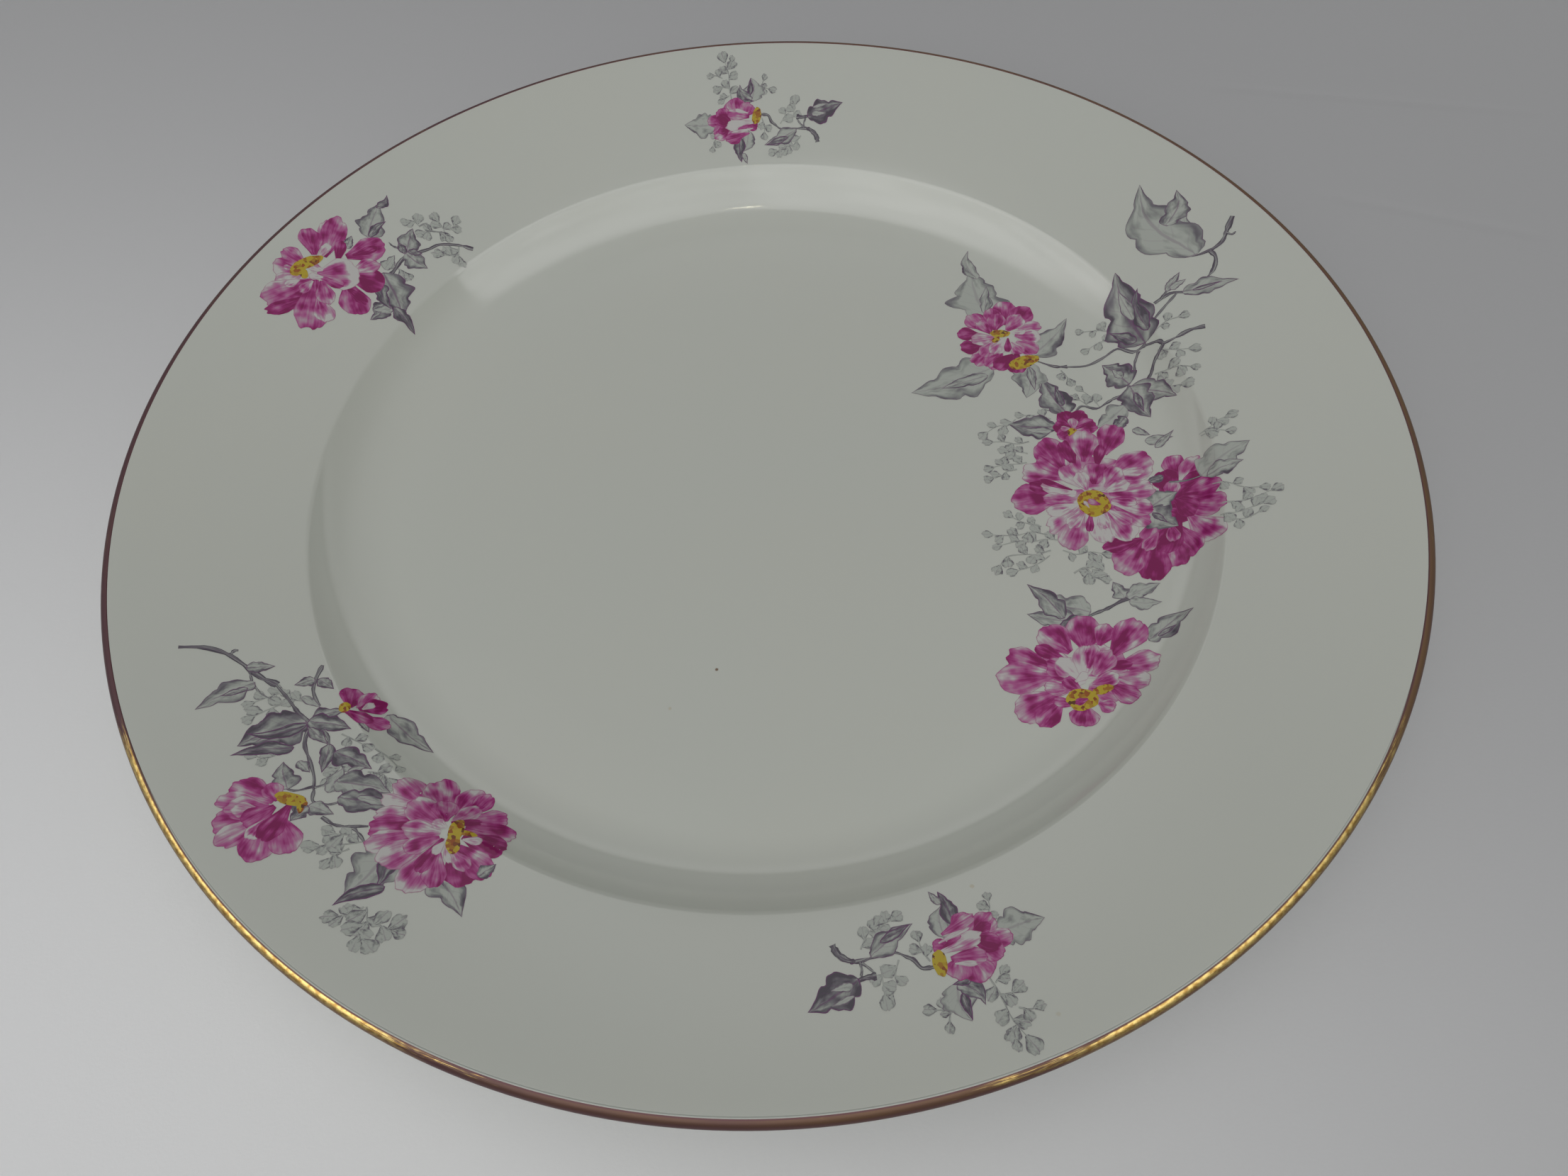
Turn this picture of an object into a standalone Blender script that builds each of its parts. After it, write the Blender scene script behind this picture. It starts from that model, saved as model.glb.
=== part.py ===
"""China dinner plate: one fired porcelain body, a gilt line round its lip and five floral transfers.

Run it with blender --background --python part.py, or from Blender's text editor. The plate stands
on its foot ring on z = 0, with its axis on +Z. The sizes below are in millimetres.
"""

import math

import bmesh
import bpy
from mathutils import Vector

MM = 0.001

# Driving dimensions of the turned body, as radius and height above the table.
PLATE_RADIUS = 127.0
PLATE_HEIGHT = 27.0
LIP_HALF_THICKNESS = 1.4
RIM_TILT = math.atan(0.385)
VERGE_RADIUS = 93.2
FLOOR_HEIGHT = 7.0
FLOOR_EDGE_RADIUS = 86.8
WALL_THICKNESS = 4.3
FLOOR_THICKNESS = 4.2
FOOT_OUTER_RADIUS = 85.9
FOOT_INNER_RADIUS = 82.1
FOOT_LEAN = 1.1
FOOT_ROOT_RISE = 0.6

# Where the underside's bend lies, out from the verge and up from a plain offset of it.
UNDER_VERGE_OUT = 2.4
UNDER_VERGE_UP = 0.4

# Fillets of the section's corners, each with the number of straight steps round it.
FLOOR_FILLET = (19.5, 5)
VERGE_FILLET = (2.5, 2)
UNDER_VERGE_FILLET = (8.0, 2)
FOOT_ROOT_FILLET = (2.0, 2)
FOOT_EDGE_FILLET = (0.6, 2)
FOOT_INSIDE_FILLET = (1.6, 2)
NO_FILLET = (0.0, 0)

# The gilt line sits in a shallow rebate, so it ends flush with the glaze.
BAND_THICKNESS = 0.25
GAP = 0.3

# The transfers are films that follow the glaze.
FILM_THICKNESS = 0.2
FILM_INNER_RADIUS = 30.0
FILM_OUTER_RADIUS = 124.3
STEM_WIDTH = 1.1
PRISM_HEIGHT = 40.0
PRISM_OVERRUN = 0.13

# Outlines in the sprays: how deep a flower's lobes are, and how finely each shape is drawn.
LOBE_SIZE = 0.96
LOBE_DEPTH = 0.06
POINTS_PER_PETAL = 4
LEAF_STEPS = 6
LEAF_SHOULDER = 0.8
LEAFLET_PETALS = 2

TURN_STEPS = 72
REBATE_STEPS = 4
BAND_OUTER_STEPS = 7
BAND_INNER_STEPS = 5
SMOOTH_BELOW = math.radians(40)
MERGE = 0.00001

# Finishes: colour, roughness, metallic.
GLAZE = ((0.62, 0.64, 0.58, 1.0), 0.08, 0.0)
GOLD = ((0.78, 0.52, 0.13, 1.0), 0.25, 1.0)
ROSE = ((0.42, 0.04, 0.20, 1.0), 0.15, 0.0)

# A bud spray, drawn about the middle of its bud. The same print is used twice.
BUD_SPRAY = {
    "flowers": [(0.0, 0.0, 6.2, 5.5, 7)],
    "leaves": [
        ((-4.5, -0.5), (-12.4, -0.6), 5.0),
        ((4.5, 3.6), (4.5, 10.7), 5.6),
        ((2.5, -3.6), (2.5, -11.5), 5.0),
        ((15.5, -0.6), (27.5, 1.5), 5.6),
        ((15.4, -4.4), (7.2, -6.9), 3.8),
    ],
    "stems": [
        [(5.0, 1.0), (9.0, 0.3), (9.6, -1.6), (11.7, -3.3), (17.3, -3.6), (19.3, -4.3), (20.5, -7.5)],
        [(17.3, -3.6), (18.0, 0.2)],
        [(-0.5, 4.6), (-0.7, 12.5), (-2.0, 15.4)],
        [(-0.7, 11.0), (-4.6, 11.8)],
        [(6.2, 7.6), (8.6, 10.6)],
    ],
    "leaflets": [(-2.3, 15.2, 1.7), (0.6, 14.2, 1.6), (-4.7, 11.8, 1.7), (-1.8, 9.2, 1.6), (8.5, 10.7, 1.4)],
}
BUD_PLACES = {
    "decal_top": ((-1.5, 105.5), 0.0),
    "decal_bottom": ((28.3, -102.3), 194.3),
}

UPPER_LEFT_SPRAY = {
    "flowers": [(-97.0, 56.5, 11.0, 14.0, 9), (-88.5, 57.5, 4.6, 9.5, 5)],
    "leaves": [
        ((-88.5, 66.5), (-85.0, 80.0), 6.0),
        ((-85.5, 59.5), (-78.3, 46.0), 8.0),
        ((-80.0, 65.0), (-79.0, 72.4), 5.4),
        ((-81.0, 65.6), (-75.7, 62.6), 4.4),
    ],
    "stems": [
        [(-85.5, 58), (-82.4, 61.5), (-79.8, 66), (-75.5, 67.6), (-73.0, 69.4), (-69, 69.8), (-65.8, 69.3)],
        [(-79.2, 71.4), (-78.3, 74.4), (-75.5, 72.4), (-72.4, 72.2), (-72.6, 75.0)],
        [(-69.3, 69.8), (-69.0, 66.6), (-72.0, 66.5)],
    ],
    "leaflets": [
        (-78.8, 74.7, 1.7),
        (-75.7, 72.1, 1.6),
        (-72.0, 72.0, 1.5),
        (-72.7, 75.0, 1.6),
        (-69.0, 66.4, 1.6),
        (-72.0, 66.4, 1.5),
    ],
}

RIGHT_SPRAY = {
    "flowers": [
        (56.5, 37.3, 9.2, 10.6, 8),
        (68.3, 9.8, 4.6, 4.2, 5),
        (68.0, -7.6, 15.0, 14.6, 10),
        (80.3, -16.5, 11.4, 12.8, 8),
        (57.6, -49.6, 14.6, 10.8, 9),
    ],
    "leaves": [
        ((96.0, 49.0), (92.2, 69.5), 12.5),
        ((94.5, 36.6), (106.0, 35.3), 4.6),
        ((86.4, 28.4), (83.0, 46.0), 9.6),
        ((82.6, 28.6), (80.4, 33.6), 2.4),
        ((82.2, 18.6), (77.0, 26.2), 7.0),
        ((81.6, 19.6), (86.0, 9.6), 7.4),
        ((67.0, 12.5), (64.0, 23.5), 7.4),
        ((65.6, 10.0), (53.8, 11.6), 6.0),
        ((54.5, 45.0), (53.0, 64.5), 12.5),
        ((53.0, 28.6), (34.6, 22.6), 9.8),
        ((62.5, 31.0), (72.2, 40.6), 7.0),
        ((61.5, 29.0), (58.5, 18.8), 8.4),
        ((88.0, -9.0), (98.6, -5.2), 8.6),
        ((63.4, -37.4), (51.2, -29.8), 8.4),
        ((68.4, -44.6), (80.4, -40.2), 5.0),
    ],
    "stems": [
        [(108.4, 51.6), (106, 47.0), (102.4, 44.8), (103.2, 42.6), (102.0, 39.8), (99.4, 37.2), (96, 36.6)],
        [(102.4, 44.8), (99.0, 46.0), (95.8, 50.5)],
        [(97.0, 36.6), (93.6, 36.6), (90.6, 33.6), (86.8, 29.4), (86.2, 27.2), (89.2, 25.6), (98.0, 26.2)],
        [(64.0, 29.0), (67.6, 27.2), (74.0, 26.8), (81.0, 29.2), (86.4, 28.0)],
        [(89.2, 25.6), (87.2, 22.0), (85.6, 18.6), (82.0, 18.8)],
        [(69.0, 12.6), (71.0, 15.2), (74.4, 14.4), (79.0, 16.8), (82.0, 19.0)],
        [(77.0, -26.0), (71.6, -33.8), (63.2, -37.3), (60.0, -43.0)],
        [(57.0, -0.5), (50.0, -0.5), (48.6, 3.0)],
        [(60.0, -15.0), (52.0, -18.6), (47.0, -18.0)],
        [(61.0, -15.0), (53.0, -24.6), (49.0, -25.0)],
        [(89.0, -17.0), (94.0, -17.6), (98.0, -17.2)],
        [(93.0, -4.0), (94.6, 1.0)],
        [(76.0, 0.0), (85.6, 4.4)],
    ],
    "leaflets": [
        (50.4, -0.8, 2.2),
        (48.6, 3.4, 1.8),
        (53.4, 0.2, 2.4),
        (52.4, -17.8, 2.6),
        (47.0, -18.0, 2.2),
        (52.6, -24.2, 2.4),
        (48.4, -25.0, 2.2),
        (94.0, -18.4, 2.4),
        (98.6, -17.4, 1.9),
        (94.8, 1.4, 1.8),
        (85.8, 4.4, 2.6),
    ],
}

LOWER_LEFT_SPRAY = {
    "flowers": [
        (-76.3, -49.6, 4.3, 4.6, 5),
        (-87.0, -74.3, 7.4, 7.8, 7),
        (-59.2, -75.8, 12.2, 11.6, 10),
    ],
    "leaves": [
        ((-94.6, -46.4), (-102.4, -53.0), 4.4),
        ((-84.0, -53.8), (-94.6, -61.8), 8.6),
        ((-85.6, -53.4), (-77.2, -54.6), 4.6),
        ((-85.0, -44.2), (-88.4, -46.2), 2.6),
        ((-85.0, -44.2), (-81.8, -46.4), 2.6),
        ((-73.4, -51.0), (-63.8, -57.6), 5.0),
        ((-83.6, -67.6), (-87.0, -62.4), 5.6),
        ((-80.6, -57.0), (-71.6, -63.2), 4.8),
        ((-77.6, -66.6), (-68.2, -67.8), 6.6),
        ((-78.0, -70.0), (-66.4, -71.2), 5.6),
        ((-64.6, -79.6), (-72.4, -90.2), 8.0),
        ((-58.2, -83.8), (-52.8, -92.0), 5.0),
    ],
    "stems": [
        [(-108.0, -39.7), (-104.0, -39.4), (-100.2, -40.4), (-96.6, -43.0), (-92.0, -46.0), (-84.6, -53.6)],
        [(-96.2, -43.4), (-94.8, -47.0)],
        [(-79.0, -50.6), (-84.0, -53.8), (-83.4, -59.2), (-81.4, -63.4), (-80.4, -68.0), (-84.2, -70.4)],
        [(-84.6, -53.4), (-83.4, -50.4), (-85.2, -45.8), (-84.8, -41.2)],
        [(-80.4, -66.0), (-76.8, -69.4), (-79.6, -70.6)],
        [(-82.0, -54.6), (-80.2, -58.0)],
        [(-80.6, -67.6), (-77.0, -66.6)],
        [(-80.0, -73.6), (-74.4, -75.2), (-69.0, -75.2)],
        [(-71.6, -88.2), (-68.0, -92.6), (-63.4, -93.8)],
    ],
    "leaflets": [(-68.2, -93.0, 2.2), (-63.4, -93.8, 1.6), (-74.0, -76.6, 2.0)],
}


def clear_scene():
    """Removes whatever the startup file holds."""
    for obj in list(bpy.data.objects):
        bpy.data.objects.remove(obj, do_unlink=True)


def new_collection(name):
    collection = bpy.data.collections.new(name)
    bpy.context.scene.collection.children.link(collection)
    return collection


def finish_material(name, finish):
    colour, roughness, metallic = finish
    material = bpy.data.materials.new(name)
    material.use_nodes = True
    shader = material.node_tree.nodes["Principled BSDF"]
    shader.inputs["Base Color"].default_value = colour
    shader.inputs["Roughness"].default_value = roughness
    shader.inputs["Metallic"].default_value = metallic
    return material


def rounded(corners):
    """A polyline through (radius, height, fillet) corners, each with a tangent arc of its fillet."""
    points = []
    for i, (r, z, (fillet, steps)) in enumerate(corners):
        corner = Vector((r, z))
        if not fillet:
            points.append(corner)
            continue
        before = (Vector(corners[i - 1][:2]) - corner).normalized()
        after = (Vector(corners[i + 1][:2]) - corner).normalized()
        half = before.angle(after) / 2
        middle = corner + (before + after).normalized() * fillet / math.sin(half)
        start = corner + before * fillet / math.tan(half) - middle
        sweep = start.angle_signed(corner + after * fillet / math.tan(half) - middle)
        for step in range(steps + 1):
            points.append(middle + rotated(start, -sweep * step / steps))
    return points


def rotated(vector, angle):
    c = math.cos(angle)
    s = math.sin(angle)
    return Vector((vector.x * c - vector.y * s, vector.x * s + vector.y * c))


ALONG_RIM = Vector((math.cos(RIM_TILT), math.sin(RIM_TILT)))
UP_FROM_RIM = Vector((-math.sin(RIM_TILT), math.cos(RIM_TILT)))
LIP_CENTRE = Vector((PLATE_RADIUS - LIP_HALF_THICKNESS, PLATE_HEIGHT - LIP_HALF_THICKNESS))
LIP_TOP_EDGE = LIP_CENTRE + UP_FROM_RIM * LIP_HALF_THICKNESS
LIP_UNDER_EDGE = LIP_CENTRE - UP_FROM_RIM * LIP_HALF_THICKNESS
VERGE_HEIGHT = LIP_TOP_EDGE.y - (LIP_TOP_EDGE.x - VERGE_RADIUS) * math.tan(RIM_TILT)


def upper_surface():
    """The glazed face from the plate's centre out to the lip: flat floor, verge and sloping rim."""
    return rounded(
        [
            (0.0, FLOOR_HEIGHT, NO_FILLET),
            (FLOOR_EDGE_RADIUS, FLOOR_HEIGHT, FLOOR_FILLET),
            (VERGE_RADIUS, VERGE_HEIGHT, VERGE_FILLET),
            (LIP_TOP_EDGE.x, LIP_TOP_EDGE.y, NO_FILLET),
        ]
    )


def under_surface():
    """From the lip back to the centre: underside of the rim, foot ring and recessed floor."""
    under_floor = FLOOR_HEIGHT - FLOOR_THICKNESS
    under_verge = VERGE_HEIGHT - WALL_THICKNESS
    return rounded(
        [
            (LIP_UNDER_EDGE.x, LIP_UNDER_EDGE.y, NO_FILLET),
            (VERGE_RADIUS + UNDER_VERGE_OUT, under_verge + UNDER_VERGE_UP, UNDER_VERGE_FILLET),
            (FOOT_OUTER_RADIUS + FOOT_LEAN, under_floor + FOOT_ROOT_RISE, FOOT_ROOT_FILLET),
            (FOOT_OUTER_RADIUS, 0.0, FOOT_EDGE_FILLET),
            (FOOT_INNER_RADIUS, 0.0, FOOT_EDGE_FILLET),
            (FOOT_INNER_RADIUS - FOOT_LEAN, under_floor, FOOT_INSIDE_FILLET),
            (0.0, under_floor, NO_FILLET),
        ]
    )


def lip_arc(radius, first, last, steps):
    """Points about the lip's centre, with 0 pointing straight out and 90 degrees off the rim's face."""
    turns = [math.radians(first + (last - first) * i / steps) for i in range(steps + 1)]
    return [LIP_CENTRE + (ALONG_RIM * math.cos(t) + UP_FROM_RIM * math.sin(t)) * radius for t in turns]


def body_profile():
    """The whole section. It drops into a rebate where the gilt line goes round the lip."""
    rebate = LIP_HALF_THICKNESS - BAND_THICKNESS - GAP
    step_back = ALONG_RIM * GAP
    upper = upper_surface()
    under = under_surface()
    upper[-1] = LIP_TOP_EDGE - step_back
    under[0] = LIP_UNDER_EDGE - step_back
    lip = lip_arc(rebate, 90, -90, REBATE_STEPS)
    return upper + [lip[0] - step_back] + lip + [lip[-1] - step_back] + under


def band_profile():
    """A C section that wraps the lip."""
    outer = lip_arc(LIP_HALF_THICKNESS, 90, -90, BAND_OUTER_STEPS)
    inner = lip_arc(LIP_HALF_THICKNESS - BAND_THICKNESS, -90, 90, BAND_INNER_STEPS)
    return outer + inner


def film_profile():
    """A thin closed strip that follows the glaze just above it."""
    inside = [p for p in upper_surface() if FILM_INNER_RADIUS < p.x < FILM_OUTER_RADIUS]
    rim_end = LIP_TOP_EDGE - ALONG_RIM * (LIP_TOP_EDGE.x - FILM_OUTER_RADIUS) / ALONG_RIM.x
    under = [Vector((FILM_INNER_RADIUS, FLOOR_HEIGHT))] + inside + [rim_end]
    lift = Vector((0.0, GAP))
    top = Vector((0.0, GAP + FILM_THICKNESS))
    return [p + top for p in under] + [p + lift for p in reversed(under)]


def turned(name, profile, closed, collection):
    """Turns a profile of (radius, height) points about +Z."""
    mesh = bpy.data.meshes.new(name)
    count = len(profile)
    edges = [(i, (i + 1) % count) for i in range(count if closed else count - 1)]
    mesh.from_pydata([(p.x * MM, 0.0, p.y * MM) for p in profile], edges, [])
    obj = bpy.data.objects.new(name, mesh)
    collection.objects.link(obj)
    screw = obj.modifiers.new("turn", "SCREW")
    screw.steps = TURN_STEPS
    screw.render_steps = TURN_STEPS
    screw.use_merge_vertices = True
    screw.merge_threshold = MERGE
    screw.use_smooth_shade = True
    return obj


def flower_outline(x, y, half_width, half_height, petals):
    """An oval with one shallow lobe to each petal."""
    points = []
    count = petals * POINTS_PER_PETAL
    for i in range(count):
        turn = math.tau * i / count
        lobe = LOBE_SIZE + LOBE_DEPTH * math.cos(petals * turn)
        points.append((x + half_width * lobe * math.cos(turn), y + half_height * lobe * math.sin(turn)))
    return points


def leaf_outline(base, tip, width):
    """A blade with a round shoulder near its base and a pointed tip."""
    base = Vector(base)
    along = Vector(tip) - base
    side = Vector((-along.y, along.x)).normalized() * width / 2
    shares = [i / LEAF_STEPS for i in range(LEAF_STEPS + 1)]
    bulge = [math.sin(math.pi * share**LEAF_SHOULDER) for share in shares]
    right = [base + along * shares[i] - side * bulge[i] for i in range(LEAF_STEPS)]
    left = [base + along * shares[i] + side * bulge[i] for i in range(LEAF_STEPS, 0, -1)]
    return right + left


def stem_outline(points):
    """A ribbon of even width along a route."""
    route = [Vector(p) for p in points]
    left = []
    right = []
    for i, point in enumerate(route):
        along = (route[min(i + 1, len(route) - 1)] - route[max(i - 1, 0)]).normalized()
        side = Vector((-along.y, along.x)) * STEM_WIDTH / 2
        left.append(point + side)
        right.append(point - side)
    return right + left[::-1]


def spray_outlines(spray):
    outlines = [flower_outline(*flower) for flower in spray["flowers"]]
    outlines += [leaf_outline(*leaf) for leaf in spray["leaves"]]
    outlines += [stem_outline(stem) for stem in spray["stems"]]
    outlines += [flower_outline(x, y, r, r, LEAFLET_PETALS) for x, y, r in spray["leaflets"]]
    return outlines


def placed(outline, centre, degrees):
    """Turns an outline about its own origin and moves it onto the plate."""
    return [rotated(Vector(p), math.radians(degrees)) + Vector(centre) for p in outline]


def prism(name, outline, overrun, collection):
    """An upright prism over a flat outline. Overrun keeps the ends of two prisms off one plane."""
    curve = bpy.data.curves.new(name, "CURVE")
    curve.dimensions = "2D"
    curve.fill_mode = "BOTH"
    curve.extrude = (PRISM_HEIGHT / 2 + overrun) * MM
    spline = curve.splines.new("POLY")
    spline.points.add(len(outline) - 1)
    for point, place in zip(spline.points, outline):
        point.co = (place[0] * MM, place[1] * MM, 0.0, 1.0)
    spline.use_cyclic_u = True
    guide = bpy.data.objects.new(name, curve)
    guide.location.z = PRISM_HEIGHT / 2 * MM
    collection.objects.link(guide)
    bpy.context.view_layer.update()
    evaluated = guide.evaluated_get(bpy.context.evaluated_depsgraph_get())
    mesh = bpy.data.meshes.new_from_object(evaluated)
    form = bmesh.new()
    form.from_mesh(mesh)
    bmesh.ops.remove_doubles(form, verts=form.verts, dist=MERGE)
    bmesh.ops.recalc_face_normals(form, faces=form.faces)
    form.to_mesh(mesh)
    form.free()
    place = guide.matrix_world.copy()
    bpy.data.objects.remove(guide, do_unlink=True)
    obj = bpy.data.objects.new(name, mesh)
    obj.matrix_world = place
    collection.objects.link(obj)
    return obj


def as_cutter(obj):
    obj.hide_render = True
    obj.display_type = "WIRE"


def boolean(obj, operation, **operand):
    modifier = obj.modifiers.new(operation.lower(), "BOOLEAN")
    modifier.operation = operation
    modifier.solver = "EXACT"
    for key, value in operand.items():
        setattr(modifier, key, value)


def decal(name, outlines, film, parts, cutters):
    """One transfer: its outlines joined, then cut out of the film."""
    group = bpy.data.collections.new(name + "_shapes")
    cutters.children.link(group)
    for i, outline in enumerate(outlines[1:], 1):
        as_cutter(prism(f"{name}_shape_{i}", outline, PRISM_OVERRUN * i, group))
    obj = prism(name, outlines[0], 0.0, parts)
    boolean(obj, "UNION", operand_type="COLLECTION", collection=group)
    boolean(obj, "INTERSECT", object=film)
    return obj


def smooth(obj):
    obj.data.shade_smooth()
    obj.data.set_sharp_from_angle(angle=SMOOTH_BELOW)


def build():
    clear_scene()
    parts = new_collection("dinner_plate")
    cutters = new_collection("cutters")
    glaze = finish_material("white_glaze", GLAZE)
    gold = finish_material("gilding", GOLD)

    body = turned("porcelain_body", body_profile(), False, parts)
    body.data.materials.append(glaze)
    band = turned("gilt_lip_band", band_profile(), True, parts)
    band.data.materials.append(gold)

    film = turned("decal_film", film_profile(), True, cutters)
    as_cutter(film)
    sprays = {
        "decal_upper_left": spray_outlines(UPPER_LEFT_SPRAY),
        "decal_right": spray_outlines(RIGHT_SPRAY),
        "decal_lower_left": spray_outlines(LOWER_LEFT_SPRAY),
    }
    for name, (centre, degrees) in BUD_PLACES.items():
        sprays[name] = [placed(outline, centre, degrees) for outline in spray_outlines(BUD_SPRAY)]
    for name, outlines in sprays.items():
        obj = decal(name, outlines, film, parts, cutters)
        obj.data.materials.append(finish_material(name + "_enamel", ROSE))
        smooth(obj)


build()
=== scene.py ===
"""Looks of the china dinner plate: glazed body, gilt lip line, fired rose sprays, floor, light and camera.

Lengths are in millimetres until a mesh, lamp or camera is made, and MM turns them into metres. The plate's
own frame is the CAD's: z = 0 is the table, +Z is the plate's axis and -Y is the side nearest the camera.
"""

import math
import random

import bmesh
import bpy
from mathutils import Matrix, Vector, geometry, noise


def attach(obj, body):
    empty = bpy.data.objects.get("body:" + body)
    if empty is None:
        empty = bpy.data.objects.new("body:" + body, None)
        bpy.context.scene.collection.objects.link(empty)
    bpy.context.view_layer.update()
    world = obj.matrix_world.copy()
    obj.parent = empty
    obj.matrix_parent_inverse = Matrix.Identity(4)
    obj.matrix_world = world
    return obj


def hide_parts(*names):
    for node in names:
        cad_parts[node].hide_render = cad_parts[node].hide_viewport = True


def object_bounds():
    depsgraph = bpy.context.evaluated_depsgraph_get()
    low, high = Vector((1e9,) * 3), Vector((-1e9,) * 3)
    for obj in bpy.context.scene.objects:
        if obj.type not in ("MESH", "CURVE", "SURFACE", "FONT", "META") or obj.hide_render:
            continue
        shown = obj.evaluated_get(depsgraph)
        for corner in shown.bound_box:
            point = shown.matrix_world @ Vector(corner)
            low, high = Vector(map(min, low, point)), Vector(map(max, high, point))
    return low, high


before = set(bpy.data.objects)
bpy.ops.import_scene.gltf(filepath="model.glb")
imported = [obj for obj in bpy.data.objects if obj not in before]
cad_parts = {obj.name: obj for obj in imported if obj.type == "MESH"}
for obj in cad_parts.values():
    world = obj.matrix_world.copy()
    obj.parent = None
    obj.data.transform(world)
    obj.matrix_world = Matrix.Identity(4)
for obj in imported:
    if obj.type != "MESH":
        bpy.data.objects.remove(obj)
CAD_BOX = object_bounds()

MM = 0.001
BODY = "root"

# The turned section. Its outer radius and height come from the CAD box, the rest repeats the CAD section.
PLATE_RADIUS = CAD_BOX[1].x / MM
PLATE_HEIGHT = CAD_BOX[1].z / MM
LIP_HALF_THICKNESS = 1.4
RIM_TILT = math.atan(0.385)
VERGE_RADIUS = 93.2
FLOOR_HEIGHT = 7.0
FLOOR_EDGE_RADIUS = 86.8
WALL_THICKNESS = 4.3
FLOOR_THICKNESS = 4.2
FOOT_OUTER_RADIUS = 85.9
FOOT_INNER_RADIUS = 82.1
FOOT_LEAN = 1.1
FOOT_ROOT_RISE = 0.6
UNDER_VERGE_OUT = 2.4
UNDER_VERGE_UP = 0.4
FLOOR_FILLET = 19.5
VERGE_FILLET = 2.5
UNDER_VERGE_FILLET = 8.0
FOOT_ROOT_FILLET = 2.0
FOOT_EDGE_FILLET = 0.6
FOOT_INSIDE_FILLET = 1.6
GLAZE_LIP_RADIUS = 1.38
GILT_LIP_RADIUS = 1.4
GILT_BACK_RADIUS = 1.34
TURN_STEPS = 320
FLOOR_RINGS = 22
ARC_STEPS = 14
LIP_STEPS = 18


# ---------------------------------------------------------------- section and meshes


def rotated(vector, angle):
    c = math.cos(angle)
    s = math.sin(angle)
    return Vector((vector.x * c - vector.y * s, vector.x * s + vector.y * c))


def rounded(corners):
    """A polyline through (radius, height, fillet) corners, each with a tangent arc of its fillet."""
    points = []
    for i, (r, z, fillet) in enumerate(corners):
        corner = Vector((r, z))
        if not fillet:
            points.append(corner)
            continue
        before = (Vector(corners[i - 1][:2]) - corner).normalized()
        after = (Vector(corners[i + 1][:2]) - corner).normalized()
        half = before.angle(after) / 2
        middle = corner + (before + after).normalized() * fillet / math.sin(half)
        start = corner + before * fillet / math.tan(half) - middle
        sweep = start.angle_signed(corner + after * fillet / math.tan(half) - middle)
        for step in range(ARC_STEPS + 1):
            points.append(middle + rotated(start, -sweep * step / ARC_STEPS))
    return points


ALONG_RIM = Vector((math.cos(RIM_TILT), math.sin(RIM_TILT)))
UP_FROM_RIM = Vector((-math.sin(RIM_TILT), math.cos(RIM_TILT)))
LIP_CENTRE = Vector((PLATE_RADIUS - LIP_HALF_THICKNESS, PLATE_HEIGHT - LIP_HALF_THICKNESS))
LIP_TOP_EDGE = LIP_CENTRE + UP_FROM_RIM * GLAZE_LIP_RADIUS
LIP_UNDER_EDGE = LIP_CENTRE - UP_FROM_RIM * GLAZE_LIP_RADIUS
VERGE_HEIGHT = LIP_TOP_EDGE.y - (LIP_TOP_EDGE.x - VERGE_RADIUS) * math.tan(RIM_TILT)


def lip_arc(radius, first, last):
    """Points about the lip's centre, with 0 pointing straight out and 90 degrees off the rim's face."""
    turns = [math.radians(first + (last - first) * i / LIP_STEPS) for i in range(LIP_STEPS + 1)]
    return [LIP_CENTRE + (ALONG_RIM * math.cos(t) + UP_FROM_RIM * math.sin(t)) * radius for t in turns]


UPPER_SURFACE = rounded(
    [
        (0.0, FLOOR_HEIGHT, 0.0),
        (FLOOR_EDGE_RADIUS, FLOOR_HEIGHT, FLOOR_FILLET),
        (VERGE_RADIUS, VERGE_HEIGHT, VERGE_FILLET),
        (LIP_TOP_EDGE.x, LIP_TOP_EDGE.y, 0.0),
    ]
)
UNDER_FLOOR = FLOOR_HEIGHT - FLOOR_THICKNESS
UNDER_SURFACE = rounded(
    [
        (LIP_UNDER_EDGE.x, LIP_UNDER_EDGE.y, 0.0),
        (VERGE_RADIUS + UNDER_VERGE_OUT, VERGE_HEIGHT - WALL_THICKNESS + UNDER_VERGE_UP, UNDER_VERGE_FILLET),
        (FOOT_OUTER_RADIUS + FOOT_LEAN, UNDER_FLOOR + FOOT_ROOT_RISE, FOOT_ROOT_FILLET),
        (FOOT_OUTER_RADIUS, 0.0, FOOT_EDGE_FILLET),
        (FOOT_INNER_RADIUS, 0.0, FOOT_EDGE_FILLET),
        (FOOT_INNER_RADIUS - FOOT_LEAN, UNDER_FLOOR, FOOT_INSIDE_FILLET),
        (0.0, UNDER_FLOOR, 0.0),
    ]
)


def divided(points, longest):
    """The same polyline with every straight run cut into steps no longer than the given length."""
    result = [points[0]]
    for start, end in zip(points, points[1:]):
        steps = max(1, math.ceil((end - start).length / longest))
        result += [start.lerp(end, (i + 1) / steps) for i in range(steps)]
    return result


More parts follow.
